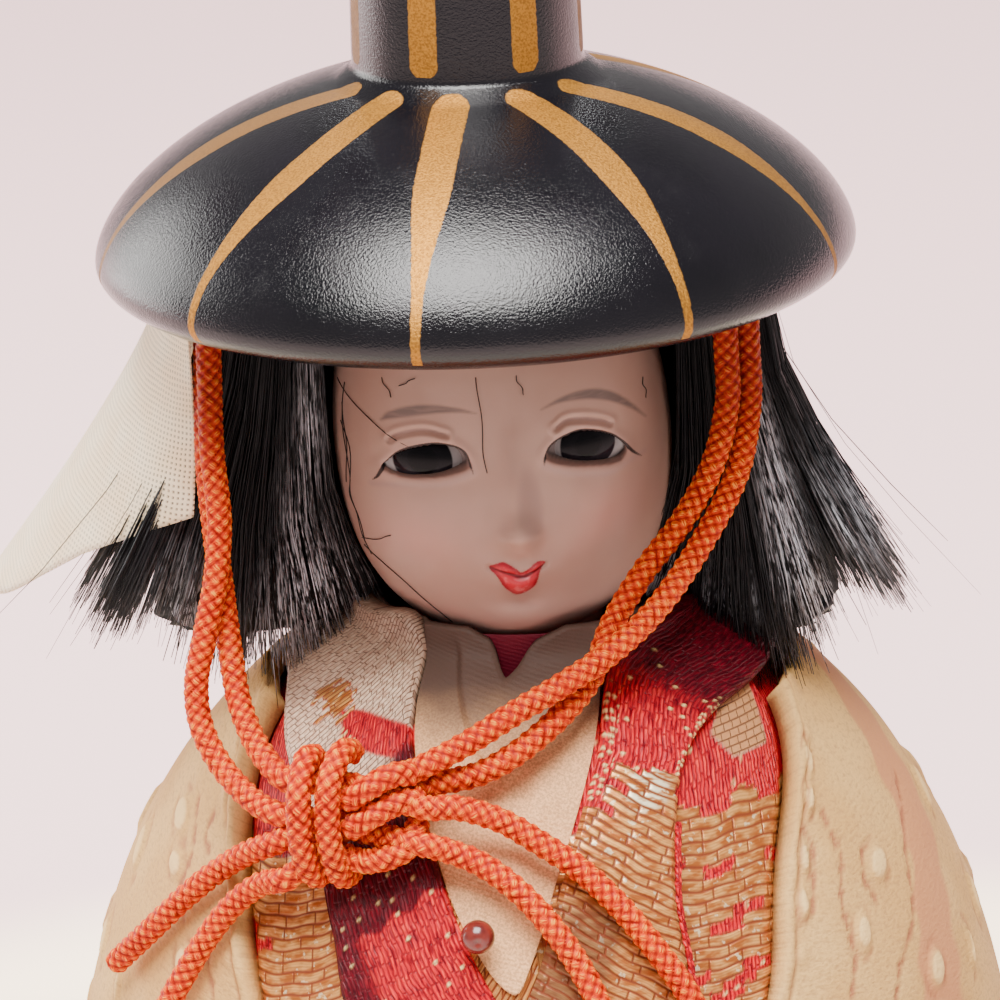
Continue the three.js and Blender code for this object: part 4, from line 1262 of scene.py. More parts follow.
def weave(along, across, gold_zone, white, speck, slant, pitch, length):
    """Relief in mm of a brocade, with its values: gold strips, a white ground, or red satin threads.

    A motif's edge steps from one float to the next, because gold_zone (positive where gold) is
    asked at the middle of each float. The finish draws the floats from row and column, counted
    in floats, so their edges stay sharp."""
    tilted = along - slant * across
    strip, middle_along, middle_across = floats(tilted, across, pitch, length, 1.0)
    gold = (gold_zone(middle_along + slant * middle_across, middle_across) > 0).astype(float)
    brick, _, _ = floats(along, across, 0.39, 0.7, 0.3)
    thread = np.abs(np.sin(np.pi * (across + 0.06 * np.sin(along * 2.1)) / 0.34))
    white = white * (1 - gold) * np.ones_like(along)
    satin = (1 - gold) * (1 - white)
    relief = gold * (0.05 + 0.05 * strip) + white * 0.03 * brick + satin * (0.04 * thread + 0.08 * speck)
    bent = tilted + 0.07 * np.sin(across * 1.1) + 0.05 * np.sin(across * 2.3 + tilted)
    speck = satin * speck
    return relief, dict(along=along, across=across, row=bent / pitch, column=across / length, gold=gold,
                        white=white, speck=speck)


# %% The brocade's finish
def bricks(f, row, column, stagger, sharp_row, sharp_end):
    """1 on each float and 0 in the gaps: row and column count floats, each row shifted on its own."""
    line = f.maths("FLOOR", row)
    shifted = column + line * stagger + f.maths("SINE", line * 2.3) * 0.2
    side = f.rise(f.maths("PINGPONG", row, 0.5), 0.0, sharp_row)
    end = f.rise(f.maths("PINGPONG", shifted, 0.5), 0.0, sharp_end)
    return side * end


def brocade_finish():
    """Red satin threads with a painted sheen, gold strips over them with painted sparkles, a white ground,
    painted shade where deep is asked and in the gaps between floats, and where asked a painted pale
    highlight on the gold.

    On the white ground, the same value turns it golden brown, a colour of its own."""
    f = Finish("red and gold brocade")
    along, across = f.value("along"), f.value("across")
    gold, white, speck = f.value("gold"), f.value("white"), f.value("speck")
    deep, glint = f.value("deep"), f.value("glint")
    strip = bricks(f, f.value("row"), f.value("column"), 0.37, 0.26, 0.05)
    brick = bricks(f, along / 0.34, across / 0.76, 0.5, 0.16, 0.07)
    twist = f.maths("SINE", along * 2.1) * 0.18 + f.noise(0.7, detail=1.0) * 0.8
    thread = bricks(f, across / 0.27 + twist, along / 1.1, 0.41, 0.35, 0.1)
    ends = f.noise(1.0, vector=f.vector(across * 5.0, along * 1.1), detail=3.0)
    satin = f.mix(f.rise(ends, 0.34, 0.5), paint(138, 4, 24), paint(218, 12, 36))
    # Painted sheen: lighter streaks along the satin threads, brightest on their middles.
    satin = f.mix(f.rise(ends, 0.5, 0.68) * (thread * 0.6 + 0.4), satin, paint(255, 66, 54))
    # Painted shade: darker satin where deep asks for it.
    dark = f.mix(f.rise(ends, 0.35, 0.7), paint(58, 2, 14), paint(116, 10, 30))
    satin = f.mix(deep, satin, dark)
    satin = f.mix((1 - thread) * 0.6, satin, paint(84, 4, 18))
    patch = f.noise(1.0, vector=f.vector(across * 0.9, along * 2.4), detail=2.0)
    foil = f.mix(f.rise(patch, 0.35, 0.65), paint(184, 104, 48), paint(240, 176, 100))
    hatch = f.maths("SINE", f.value("row") * (2 * np.pi * 4)) * 0.5 + 0.5
    foil = f.mix(hatch * 0.3, foil, paint(158, 84, 34))
    # Painted highlight: bright sparkles on the gold strips.
    glow = f.rise(f.noise(0.5, detail=3.0), 0.6, 0.68) * strip
    foil = f.mix(glow * 0.7, foil, paint(255, 240, 196))
    # Painted highlight on the gold, where asked.
    foil = f.mix(glint * f.rise(patch, 0.4, 0.55) * strip, foil, paint(255, 240, 200))
    # Painted shade on the gold, where deep asks for it.
    foil = f.mix(deep * 0.75, foil, paint(104, 72, 58))
    # Between the floats the brown ground shows, darkened as painted shade.
    foil = f.mix(strip, paint(122, 56, 30), foil)
    fine = f.noise(0.3, detail=2.0)
    pale = f.mix(f.rise(fine, 0.3, 0.7), paint(206, 166, 138), paint(238, 206, 176))
    # Painted shade on the white ground, where deep asks for it.
    pale = f.mix(deep * 0.6, pale, paint(104, 72, 62))
    # On the white ground this value gives a golden brown of the cloth's own.
    pale = f.mix(glint * 0.85, pale, paint(196, 132, 78))
    # Between the white floats a brown ground, darkened as painted shade.
    pale = f.mix((1 - brick) * 0.8, pale, paint(92, 58, 46))
    colour = f.mix(gold, f.mix(white, satin, pale), foil)
    # The gold specks are dimmed in the painted shade.
    colour = f.mix(speck * (1 - deep * 0.5), colour, paint(255, 226, 150))
    metal = gold * strip * 0.45
    rough = 0.42 - metal * 0.2 + (patch - 0.5) * 0.2
    height = f.mix(gold, f.mix(white, thread, brick), strip)
    normal = f.bump(height, 0.06)
    return f.surface(Base_Color=colour, Metallic=metal, Roughness=rough, Normal=normal,
                     Specular_IOR_Level=0.22, Coat_Weight=gold * 0.12, Coat_Roughness=0.2)


BROCADE = brocade_finish()

# %% [markdown]
# ### The collar bands
#
# Each robe's collar is a long band that comes round the nape and crosses on the chest, the
# doll's left over its right. A band is a patch between two edge lines on the body. It has its
# own rows and columns, so the weave runs along it round every turn.

# %% Collar bands
# Stations from the nape to the front: angle and height of the inner edge, then of the outer edge.
RIGHT_BAND = [
    [178, 60.6, 178, 57], [108, 60.6, 108, 57], [58, 60.6, 66, 57], [24, 59.4, 41, 56.4],
    [11.4, 55.4, 27, 54.2], [3.6, 50.6, 20, 49.2], [-2.4, 44.6, 18, 42.4], [-12, 37.6, 6, 33],
    [-23.4, 32.2, -8.6, 24.6],
]
LEFT_BAND = [
    [-178, 60.6, -178, 57], [-110, 60.6, -110, 57], [-66, 61.0, -78, 57], [-42, 61.1, -56, 54.6],
    [-27, 56.2, -40, 51.4], [-17.5, 51.4, -31.5, 47.2], [-11, 47, -26, 42.6], [-5.4, 43.4, -15.2, 37.6],
]
BAND_SHOULDER, BAND_COARSE, BAND_FINE = 0.3, 0.9, 0.11
BAND_COLUMNS, BAND_INNER_COLUMNS = 84, 6


def band_frame(band):
    """Angles, heights and places in mm on a band: fine rows from the shoulder down, coarse behind."""
    probe = np.linspace(0, 1, 600)
    ia, iz, oa, oz = np.moveaxis(stations(band, probe), -1, 0)
    middle = on_body((ia + oa) / 2, (iz + oz) / 2)
    run = np.concatenate([[0], np.cumsum(np.linalg.norm(np.diff(middle, axis=0), axis=1))])
    start = np.interp(BAND_SHOULDER, probe, run)
    behind, before = np.arange(0, start, BAND_COARSE), np.arange(start, run[-1], BAND_FINE)
    length = np.concatenate([behind, before, [run[-1]]])
    place = np.interp(length, run, probe)[:, None]
    ia, iz, oa, oz = np.moveaxis(stations(band, place[:, 0]), -1, 0)[..., None]
    t = np.linspace(0, 1, BAND_COLUMNS)[None]
    angle, z = between(ia, oa, t), between(iz, oz, t)
    width = np.linalg.norm(on_body(ia, iz)[:, 0] - on_body(oa, oz)[:, 0], axis=-1)[:, None]
    return angle, z, (length - start)[:, None] + 0 * t, width * t, t + 0 * place


def spot(along, across, middle_along, middle_across, tall, wide):
    """Positive inside an oval spot, negative outside."""
    return 1 - ((along - middle_along) / tall) ** 2 - ((across - middle_across) / wide) ** 2


def right_zone(along, across):
    """Gold from a waving line down the chest, and a block of gold above it that gets a painted highlight.
    """
    edge = along - 11.9 - 0.7 * np.sin(across * 1.3 + 0.4) + 0.16 * across
    return np.maximum(edge, spot(along, across, 10.6, 3.3, 1.5, 1.5))


def left_zone(along, across):
    """Gold in a block of short rows near the shoulder."""
    return spot(along + 0.5 * (across - 6.4), across, 4.4, 6.3, 1.7, 0.95)


def make_band(node, band, zone, marks, slant, pitch, length):
    """A band whose marks(along, across, t) give its white ground, specks, painted shade and painted
    highlights.

    Its floats have a slant, a pitch and a length. Its edges roll down to the robe below."""
    angle, z, along, across, t = band_frame(band)
    white, speck, deep, glint = marks(along, across, t)
    relief, values = weave(along, across, zone, white, speck, slant, pitch, length)
    values |= dict(deep=deep, glint=glint * values["gold"])
    rolled = 0.25 * (1 - ease(np.minimum(t, 1 - t), 0, 0.05))
    outer = on_body(angle, z, 0.15 - relief + rolled)
    pick = np.linspace(0, BAND_COLUMNS - 1, BAND_INNER_COLUMNS).round().astype(int)
    inner = on_body(angle[:, pick], z[:, pick], ROBE_INSIDE)
    values = {key: carried(value, BAND_INNER_COLUMNS) for key, value in values.items()}
    skin = Skin().tube(cloth_loops(outer, inner), **values)
    if node == "collar_band_right":
        add_piping(skin, band)
    return skin.piece(node + "_brocade", BROCADE, "brocade", node)


def right_marks(along, across, t):
    """Red satin with painted shade near the neck and low between the cords; specks scattered, along the
    inner edge and along the seam; and a painted highlight over the gold block.
    """
    speck = specks(along, across, 0.9, 0.4) * (along > 1)
    speck = np.maximum(speck, specks(along, across, 0.42, 0.6) * (across < 1.0) * ease(along, 4.5, 6))
    speck = np.maximum(speck, specks(along, across, 0.4, 0.6) * (t > 0.92) * ease(along, 1, 3))
    # Painted shade: near the neck, and low down between the cords.
    deep = 1 - ease(along, 2.0, 6.0) + 0.9 * ease(along, 17.0, 18.4) * (1 - ease(across, 3.4, 4.4))
    # Painted highlight over the gold block.
    glint = ease(spot(along, across, 10.6, 3.3, 2.0, 1.8), 0.2, 0.8)
    return 0 * along, speck, deep, glint


def left_marks(along, across, t):
    """White brick weave with a red patch, then deep red satin below the knot, brighter lower down, with
    painted shade near the shoulder and along a crease.
    """
    middle = 7.5 + (5.0 - across) * 0.85
    red = (1 - ease(np.abs(along - middle), 0.95, 1.1)) * (1 - ease(across, 6.0, 6.3))
    white = (1 - red) * (1 - ease(along, 11.6, 11.9))
    row = np.abs(along - 7.2 - (6.1 - across) * 1.1)
    speck = specks(along, across, 0.45, 1.0) * (row < 0.4) * (along < 11)
    speck = speck + specks(along, across, 1.2, 0.35) * (along > 15)
    zigzag = 0.6 * np.abs((across * 0.9) % 2 - 1)
    bright = ease(along - zigzag, 19.3, 19.6) * (1 - ease(across, 5.0, 6.4))
    deep = ease(along, 11, 12) * (1 - 0.85 * bright)
    # Painted shade near the shoulder and along a crease.
    deep = deep + 0.8 * (1 - ease(along + 0.6 * (across - 4), 4.0, 6.0))
    painted_crease_shade = np.exp(-((along - 4.6 + 0.5 * across) / 0.28) ** 2)
    deep = deep + 0.8 * painted_crease_shade * (across < 4)
    return white, np.clip(speck, 0, 1), np.clip(deep, 0, 1), 0 * along


def add_piping(skin, band):
    """A thin twisted red cord sewn along the lower part of the band's outer edge."""
    place = np.linspace(0.56, 0.86, 200)
    _, _, angle, z = np.moveaxis(stations(band, place), -1, 0)
    path = on_body(angle, z, -0.12)
    along = np.concatenate([[0], np.cumsum(np.linalg.norm(np.diff(path, axis=0), axis=1))])[:, None]
    turn = np.linspace(0, 2 * np.pi, 14, endpoint=False)[None]
    ridge = np.abs(np.cos(turn + along * 4.0))
    loops = round_path(path, 0.15 + 0.06 * ridge, (0, -1, 0))
    spiral = (turn + along * 4.0) * 0.32 / np.pi
    skin.tube(loops, along=along, across=spiral, row=0, column=0, gold=0, white=0, speck=0, deep=0, glint=0)


band_right = make_band("collar_band_right", RIGHT_BAND, right_zone, right_marks, 0.35, 0.52, 2.2)
band_left = make_band("collar_band_left", LEFT_BAND, left_zone, left_marks, 0.0, 0.3, 1.5)

# %% [markdown]
# ### The brocade robe
#
# Under the outer robe the whole egg is covered in brocade. Only the part between the outer robe's
# two edges shows, so that part has fine rows and a relief. The rest lies deeper and is coarse,
# which saves triangles where nobody looks.

# %% The brocade robe under the outer robe
ROBE_RIGHT_EDGE = [[7, -3], [20, -3], [30, 12], [36, 22.5], [43, 31], [50, 41.5], [57, 68]]
ROBE_LEFT_EDGE = [[7, -5], [20, -5], [30, -23], [36, -33], [43, -42], [50, -55], [57, -77]]


def robe_zone(along, across):
    """Gold over the left side but for a patch; on the right, gold below a line, parted by waving gaps."""
    right = along - 4.3 - 0.5 * np.sin(across * 1.3)
    gap = np.abs(np.sin((along - 6.9 - 0.5 * np.sin(across * 1.3)) * 1.05))
    gap = gap - 0.28 * (np.sin(across * 1.7 + along) > -0.6)
    right = np.minimum(right, gap)
    left = np.minimum(along - 6.7, -spot(along, across, 11.1, -19.3, 1.0, 1.3))
    return np.where(across > -2, right, left)


def make_brocade_robe():
    """An egg whose front, between the robe's two edges, is fine and stands nearly at the surface."""
    z = spaced((6.3, 20, 10), (20, 57.2, 200))[:, None]
    left, right = through(ROBE_LEFT_EDGE, z), through(ROBE_RIGHT_EDGE, z)
    front = spaced((0, 0.28, 60), (0.28, 0.62, 16), (0.62, 1, 92))[None]
    seen = between(left - 3, right + 3, front)
    back = between(right + 3, left - 3 + 360, np.linspace(0, 1, 40)[None, 1:-1])
    angle = np.concatenate([seen, back], axis=1)
    radius = body_radius(z)
    across = np.concatenate([np.radians(seen) * radius, np.radians(back) * radius], axis=1)
    along = 57 - z + 0 * angle
    tip = np.minimum(across - 11.2 - 1.2 * np.abs(along - 1.2), 16 - across)
    white = ease(np.minimum(tip, 2.6 - along), 0.0, 0.15)
    curve = along + np.where(across < 0, 0.05 * (across + 18) ** 2, 0)
    speck = specks(along, across, 1.0, 0.3) * (across > 0)
    relief, values = weave(curve, across, robe_zone, white, speck, 0.0, 0.58, 2.2)
    # Painted shade low in the middle front; on the white patch, a darker brown of its own.
    deep = np.maximum(ease(along, 13, 16) * (np.abs(across + 2) < 6), 0.3 * white)
    values |= dict(deep=deep, glint=white)
    shown = np.concatenate([ease(np.minimum(front, 1 - front), 0.0, 0.06) + 0 * z, 0 * back], axis=1)
    depth = between(2.1, 1.0, shown * ease(z, 18, 24)) - relief * shown
    loops = on_body(angle, z, depth)
    loops[:, :, 2] = np.clip(loops[:, :, 2], 6.3, 60)
    return Skin().tube(loops, **values).piece("brocade_robe_body", BROCADE, "brocade", "brocade_robe")


brocade_robe = make_brocade_robe()

# %% [markdown]
# ### The outer robe
#
# The outer robe is cream silk with figures that stand up from a pebbled ground. It is one open
# shell round the body, with a rolled hem along both front edges. The front's figures are placed
# one by one. On the back, which the photograph doesn't show, they follow a slanting grid.

# %% Cream robe
def cream_finish():
    """Cream crepe with a pebbled grain, paler raised petals, salmon fields and ragged brownish lines."""
    f = Finish("cream figured silk")
    along, across = f.value("along"), f.value("across")
    raised, line, salmon = f.value("raised"), f.value("line"), f.value("salmon")
    crepe = f.noise(0.2, detail=2.0, roughness=0.6)
    twill = f.noise(1.0, vector=f.vector(across * 1.6 - along * 1.4, along * 4.2 + across), detail=1.0)
    ground = f.mix(f.rise(f.noise(5.0), 0.35, 0.7), paint(214, 166, 98), paint(226, 182, 113))
    ground = f.mix((1 - f.rise(crepe, 0.3, 0.55)) * 0.3, ground, paint(172, 128, 86))
    ground = f.mix((1 - f.rise(twill, 0.3, 0.5)) * 0.35, ground, paint(172, 128, 86))
    ground = f.mix(salmon * 0.85, ground, paint(204, 136, 92))
    ground = f.mix(f.rise(raised, 0.5, 1.0) * 0.75, ground, paint(248, 210, 142))
    ground = f.mix(line * (f.rise(crepe, 0.3, 0.5) * 0.5 + 0.5) * 0.85, ground, paint(164, 98, 70))
    normal = f.bump(crepe * 0.6 + twill, 0.07)
    return f.surface(Base_Color=ground, Roughness=0.75, Normal=normal, Specular_IOR_Level=0.25)


# The robe's figures, in mm round the body and up: ovals with half width and half height, and lines.
RAISED = [
    (23.1, 46.9, 1.25, 1.0), (18.3, 52.9, 0.55, 0.8), (17.5, 51.3, 0.5, 0.75), (16.4, 48.9, 0.5, 0.9),
    (15.9, 46.9, 0.5, 0.85), (20.6, 44.2, 0.8, 1.1), (27.6, 40.2, 1.1, 1.2), (-28.0, 49.3, 1.6, 1.0),
    (-27.0, 47.3, 1.2, 0.8), (-24.6, 43.0, 1.0, 1.1), (-21.4, 38.5, 0.9, 1.1), (18.8, 37.0, 0.9, 1.2),
]
DRAWN = [
    [(18.6, 50.6), (19.1, 49.3), (19.6, 48.2), (19.1, 46.1), (19.7, 43.2), (19.1, 41.4), (18.2, 36),
     (17.6, 30)],
    [(29.6, 49.4), (27.0, 46.6), (25.9, 43.4), (23.3, 41.0), (21.9, 36), (22.4, 31)],
    [(16.6, 50.2), (17.3, 49.2), (17.0, 47.6), (16.6, 46.0)], [(21.9, 48.2), (21.5, 46.6), (22.3, 45.4)],
    [(-26.2, 50.5), (-25.2, 48.4), (-26.0, 46.4), (-25.0, 45.0)],
    [(-23.4, 50.6), (-23.9, 49.4), (-23.2, 48.8)],
    [(-22.6, 44.5), (-21.6, 41.5), (-22.4, 38)],
]
SALMON_EDGE = [
    (20, 24.0), (36, 25.0), (42.4, 25.8), (45.1, 26.7), (47.4, 27.1), (49.8, 26.7), (51.4, 26.4),
    (56, 25.6),
]


def figured(across, z):
    """Raised ovals, fine ragged lines and a salmon stream, all as values from 0 to 1.

    The front's figures are placed one by one; those on the sides and back follow a slanting grid."""
    wide, tall = 6.4, 7.2
    row = np.floor(z / tall)
    column = np.floor(across / wide + 0.5 * (row % 2))
    x = across - (column + 0.5 - 0.5 * (row % 2) + 0.3 * (scattered(row, column, 5) - 0.5)) * wide
    y = z - (row + 0.5 + 0.3 * (scattered(row, column, 6) - 0.5)) * tall
    away = np.hypot(x / 1.1, y / 1.4) + 9 * ((np.abs(across) < 33) | (z < 12))
    for middle, height, half, rise in RAISED:
        away = np.minimum(away, np.hypot((across - middle) / half, (z - height) / rise))
    petal = 1 - ease(away, 0.5, 1.0)
    outline = np.exp(-((away - 1.2) / 0.14) ** 2) * ease(np.sin(across * 2.3 + z * 1.7), -0.5, 0.4)
    waved = np.abs((across + 0.6 * np.sin(z * 0.5)) % 12.8 - 6.4)
    line = (1 - ease(waved, 0.1, 0.3)) * (np.abs(across) > 34)
    ragged = 0.1 * np.sin(z * 5.1) + 0.07 * np.sin(z * 11.3 + across)
    for points in DRAWN:
        distance, _ = line_distance(across, z, open_line(points))
        line = np.maximum(line, 1 - ease(distance + ragged, 0.05, 0.28))
    edge = through(SALMON_EDGE, z) + 0.3 * np.sin(z * 2.1)
    salmon = ease(across - edge, 0, 0.5) * (1 - ease(across - edge, 5.0, 6.0))
    return petal, np.clip(line + outline * 0.8, 0, 1), salmon * (1 - petal)


def make_outer_robe():
    """The shell between the robe's two edges, round the back: relief = figures + hem + creases - seam."""
    z = spaced((7.4, 20, 22), (20, 56.1, 128))[:, None]
    left, right = through(ROBE_LEFT_EDGE, z), through(ROBE_RIGHT_EDGE, z)
    u = spaced((0, 0.22, 120), (0.22, 0.78, 40), (0.78, 1, 120))[None]
    angle = between(right, left + 360, u)
    signed = np.where(angle > 180, angle - 360, angle)
    across = np.radians(signed) * body_radius(z)
    raised, line, salmon = figured(across, z + 0 * across)
    edge = np.minimum(u, 1 - u) * np.radians(left + 360 - right) * body_radius(z)
    lumps = 0.8 + 0.2 * np.sin(z * 1.3 + np.sin(z * 2.9))
    hem = 0.4 * lumps * np.exp(-((edge - 0.4) / (0.32 + 0.1 * lumps)) ** 2)
    bumps = 0.22 * np.exp(-((edge - 1.3) / 0.5) ** 2) * np.clip(np.sin(z * 1.9 + np.sin(z * 0.7) * 2), 0, 1)
    seam = np.exp(-((edge - 0.95) / 0.13) ** 2)
    creases = 0.07 * np.sin(across * 0.45 + 2 * np.sin(z * 0.2)) * np.sin(z * 0.3)
    relief = 0.26 * raised - 0.1 * line + hem + bumps - 0.12 * seam + creases * ease(edge, 0.5, 4)
    outer = on_body(angle, z, -relief + 0.1)
    inner_u = np.linspace(0, 1, ROBE_INNER_COLUMNS)[None]
    inner = on_body(between(right, left + 360, inner_u), z, ROBE_INSIDE)
    line = np.clip(line + 0.7 * seam, 0, 1)
    raised = np.clip(raised + hem, 0, 1)
    values = dict(along=z + 0 * u, across=across, raised=raised, line=line, salmon=salmon)
    values = {key: carried(value, ROBE_INNER_COLUMNS) for key, value in values.items()}
    skin = Skin().tube(cloth_loops(outer, inner), **values)
    return skin.piece("outer_robe_crepe", cream_finish(), "cream_brocade", "outer_robe")


outer_robe = make_outer_robe()

# %% [markdown]
# ### The under-robe, the red collar and the bead
#
# At the neck a plain white silk stands up as a low ring, with a dark red one behind it. On the
# chest it narrows to a V that ends in a point, with a small bead beside it. Between its top and
# bottom lines the white silk is one ring of the body's surface. Under the bands it is tucked in
# deeper, so that it never comes through them.

# %% White under-robe, red collar and bead: angle and height of the white silk's two edges
UNDER_TOP = [
    [-180, 60.9], [-60, 60.9], [-40, 61.1], [-22, 61.1], [-14.2, 60.5], [-8.1, 59.3], [1.8, 60.45],
    [12, 61.1], [45, 61.0], [180, 60.9],
]
UNDER_BOTTOM = [
    [-180, 59.9], [-60, 59.9], [-44, 60.2], [-36, 59.9], [-31, 58.2], [-19.5, 52.8], [-11.5, 47.8],
    [-4.4, 44.6], [-1.6, 46.6], [2.6, 50.6], [9.6, 55], [18, 58.6], [24, 59.9], [32, 60.2], [180, 59.9],
]
BEAD_RADIUS, BEAD_PLACE = 0.95, [-3.75, -21.75, 47.9]
SILK_RIB = 0.24


def silk_finish(name, light, dark, shaded):
    """Plain silk with a fine crosswise rib, and painted shade high up under the chin."""
    f = Finish(name)
    x, y, z = f.axes()
    ribs = f.maths("SINE", (z + x * 0.3) * (2 * np.pi / SILK_RIB) + f.noise(1.5) * 4) * 0.5 + 0.5
    crepe = f.noise(0.14, detail=2.0, roughness=0.6)
    colour = f.mix(f.rise(crepe, 0.35, 0.65), dark, light)
    colour = f.mix((1 - ribs) * 0.1, colour, dark)
    # Painted shade: darker high up, under the chin.
    colour = f.mix(f.rise(z + f.noise(3.0) * 2.0, 55.6, 59.6), colour, shaded)
    return f.surface(Base_Color=colour, Roughness=0.6, Normal=f.bump(ribs * 0.4 + crepe, 0.03),
                     Specular_IOR_Level=0.3)


def make_under_robe():
    """A ring round the neck whose front dips in a crisp V; folds run from its top edge downwards."""
    angle = spaced((-182, -50, 24), (-50, 40, 150), (40, 178, 24))[None, :-1]
    t = np.linspace(0, 1, 92)[:, None]
    tops = np.array(UNDER_TOP)
    low, high = through(UNDER_BOTTOM, angle), np.interp(angle, tops[:, 0], tops[:, 1])
    z = between(low, high, t)
    step = angle + 14.8 + (z - 57.3) * 3.0
    fold = 0.34 * ease(step, -2.2, 0.2) * (1 - ease(step, 0.2, 14))
    fold = fold * ease(z, 53, 56) * (1 - ease(z, 59.5, 61))
    fold -= 0.3 * np.exp(-((angle + 3.4) / 2.6) ** 2 - ((z - 54.6) / 0.9) ** 2)
    lower = np.exp(-((angle + 2 - (z - 52) * 0.9) / 2.4) ** 2)
    fold += 0.16 * lower * ease(z, 48, 50) * (1 - ease(z, 53, 55))
    rim = 0.12 * ease(t, 0.97, 1)
    tucked = 1 - ease(angle, -43, -37) * (1 - ease(angle, 25, 32))
    outer = on_body(angle, z, 0.7 + 0.83 * tucked - fold + rim)
    inner = on_body(angle, between(low, high, np.linspace(1, 0, 18)[:, None]), 1.28 + 0.52 * tucked)
    skin = Skin().tube(np.concatenate([outer, inner]), ring=True)
    finish = silk_finish("white silk", paint(252, 196, 138), paint(212, 158, 108), paint(88, 66, 56))
    return skin.piece("under_robe_silk", finish, "white_silk", "under_robe")


def make_red_collar():
    """A low ring that stands round the neck behind the white collar's dip."""
    angle = np.linspace(0, 2 * np.pi, 160, endpoint=False)[None]
    turn = np.linspace(0, 2 * np.pi, 24, endpoint=False)[:, None]
    radius = 9.12 + 0.12 * np.cos(turn)
    z = 58.9 + 1.7 * np.sin(turn)
    loops = np.stack([radius * np.sin(angle), -BODY_DEPTH * radius * np.cos(angle), z + 0 * angle], axis=-1)
    finish = silk_finish("dark red silk", paint(120, 10, 40), paint(92, 6, 28), paint(104, 6, 32))
    return Skin().tube(loops, ring=True).piece("red_collar_silk", finish, "red_silk", "red_collar")


def make_bead():
    """A small polished bead with a shallow drilled dimple in front."""
    a = np.linspace(0, 2 * np.pi, 64, endpoint=False)[None]
    b = np.radians(np.linspace(-89, 89, 48))[:, None]
    local = np.stack([np.cos(b) * np.sin(a), -np.sin(b) + 0 * a, np.cos(b) * np.cos(a)], axis=-1)
    local = local * BEAD_RADIUS
    dimple = 0.16 * np.exp(-(np.hypot(local[..., 0], local[..., 2]) / 0.22) ** 2) * (local[..., 1] < 0)
    local[..., 1] += dimple
    f = Finish("polished reddish-brown bead")
    colour = f.mix(f.rise(f.noise(0.8), 0.35, 0.7), paint(96, 30, 26), paint(124, 44, 36))
    finish = f.surface(Base_Color=colour, Roughness=0.25, Specular_IOR_Level=0.5, Coat_Weight=0.4)
    return Skin().tube(local + BEAD_PLACE).piece("bead_polished", finish, "bead", "bead")


under_robe = make_under_robe()
red_collar = make_red_collar()
bead = make_bead()

# %% [markdown]
# ## The veil
#
# The gauze is an open plain weave, so one sees through it. Its threads are drawn into Alpha from
# places across and down the cloth in mm. The cloth itself is a closed skin a tenth of a
# millimetre thick that hangs from the hat's lip and spreads over the hair.

# %% Veil
VEIL_TOP_RADIUS, VEIL_TOP_Z, VEIL_THICKNESS = 17.85, 80.9, 0.1
VEIL_LEFT, VEIL_RIGHT = -68.5, 134
VEIL_ROWS, VEIL_MEASURED_ROW = 36, 24
# Bearing in degrees with the hem's radius, and with how far the hem hangs below the lip.
VEIL_HEM = [
    [-242, 32.5], [-215, 31], [-180, 29], [-145, 31.5], [-115, 33], [-98, 30], [-88, 25.4], [-78, 21.2],
    [-68, 17.2],
]
VEIL_DROP = [
    [-242, 23.8], [-215, 21.6], [-180, 20.4], [-145, 21], [-115, 22.5], [-98, 21], [-88, 17.2],
    [-78, 14.8], [-68, 12.8],
]
GAUZE_PITCH = 0.33


def veil_finish():
    """Cream gauze: two sets of fine threads, opaque, with open squares between them."""
    f = Finish("cream gauze")
    across, down = f.value("across"), f.value("down")
    wobble = (f.noise(1.6) - 0.5) * 0.25
    warp = f.maths("PINGPONG", across + wobble, GAUZE_PITCH / 2) / (GAUZE_PITCH / 2)
    weft = f.maths("PINGPONG", down + wobble, GAUZE_PITCH / 2) / (GAUZE_PITCH / 2)
    solid = f.maths("MAXIMUM", f.rise(warp, 0.36, 0.55), f.rise(weft, 0.36, 0.55))
    colour = f.mix(f.rise(f.noise(3.0), 0.3, 0.7), paint(250, 224, 182), paint(255, 238, 204))
    alpha = 0.26 + solid * 0.68
    return f.surface(Base_Color=colour, Roughness=0.75, Alpha=alpha, Sheen_Weight=0.3,
                     Specular_IOR_Level=0.3)


def veil_surface(azimuth, down):
    """Radius = top to hem by down^1.15, plus folds; height falls evenly to the hem.

    The left front edge comes forward by 1.5 degrees at the top. The right one comes forward by 8
    degrees at the top and draws back by 14 halfway down."""
    right = 1 - ease(azimuth, VEIL_RIGHT - 360, VEIL_RIGHT - 330)
    left = ease(azimuth, VEIL_LEFT - 30, VEIL_LEFT)
    azimuth = azimuth + 1.5 * left * (1 - down) + right * (14 * np.sin(np.pi * down) - 8 * (1 - down))
    hem, drop = through(VEIL_HEM, azimuth), through(VEIL_DROP, azimuth)
    folds = 0.7 * down**2 * np.sin(np.radians(9 * azimuth))
    radius = between(VEIL_TOP_RADIUS, hem, down**1.15) + folds
    turn = np.radians(azimuth)
    x, y = HAT_X + radius * np.sin(turn), -radius * np.cos(turn)
    return np.stack([x, y, VEIL_TOP_Z - down * drop], axis=-1)


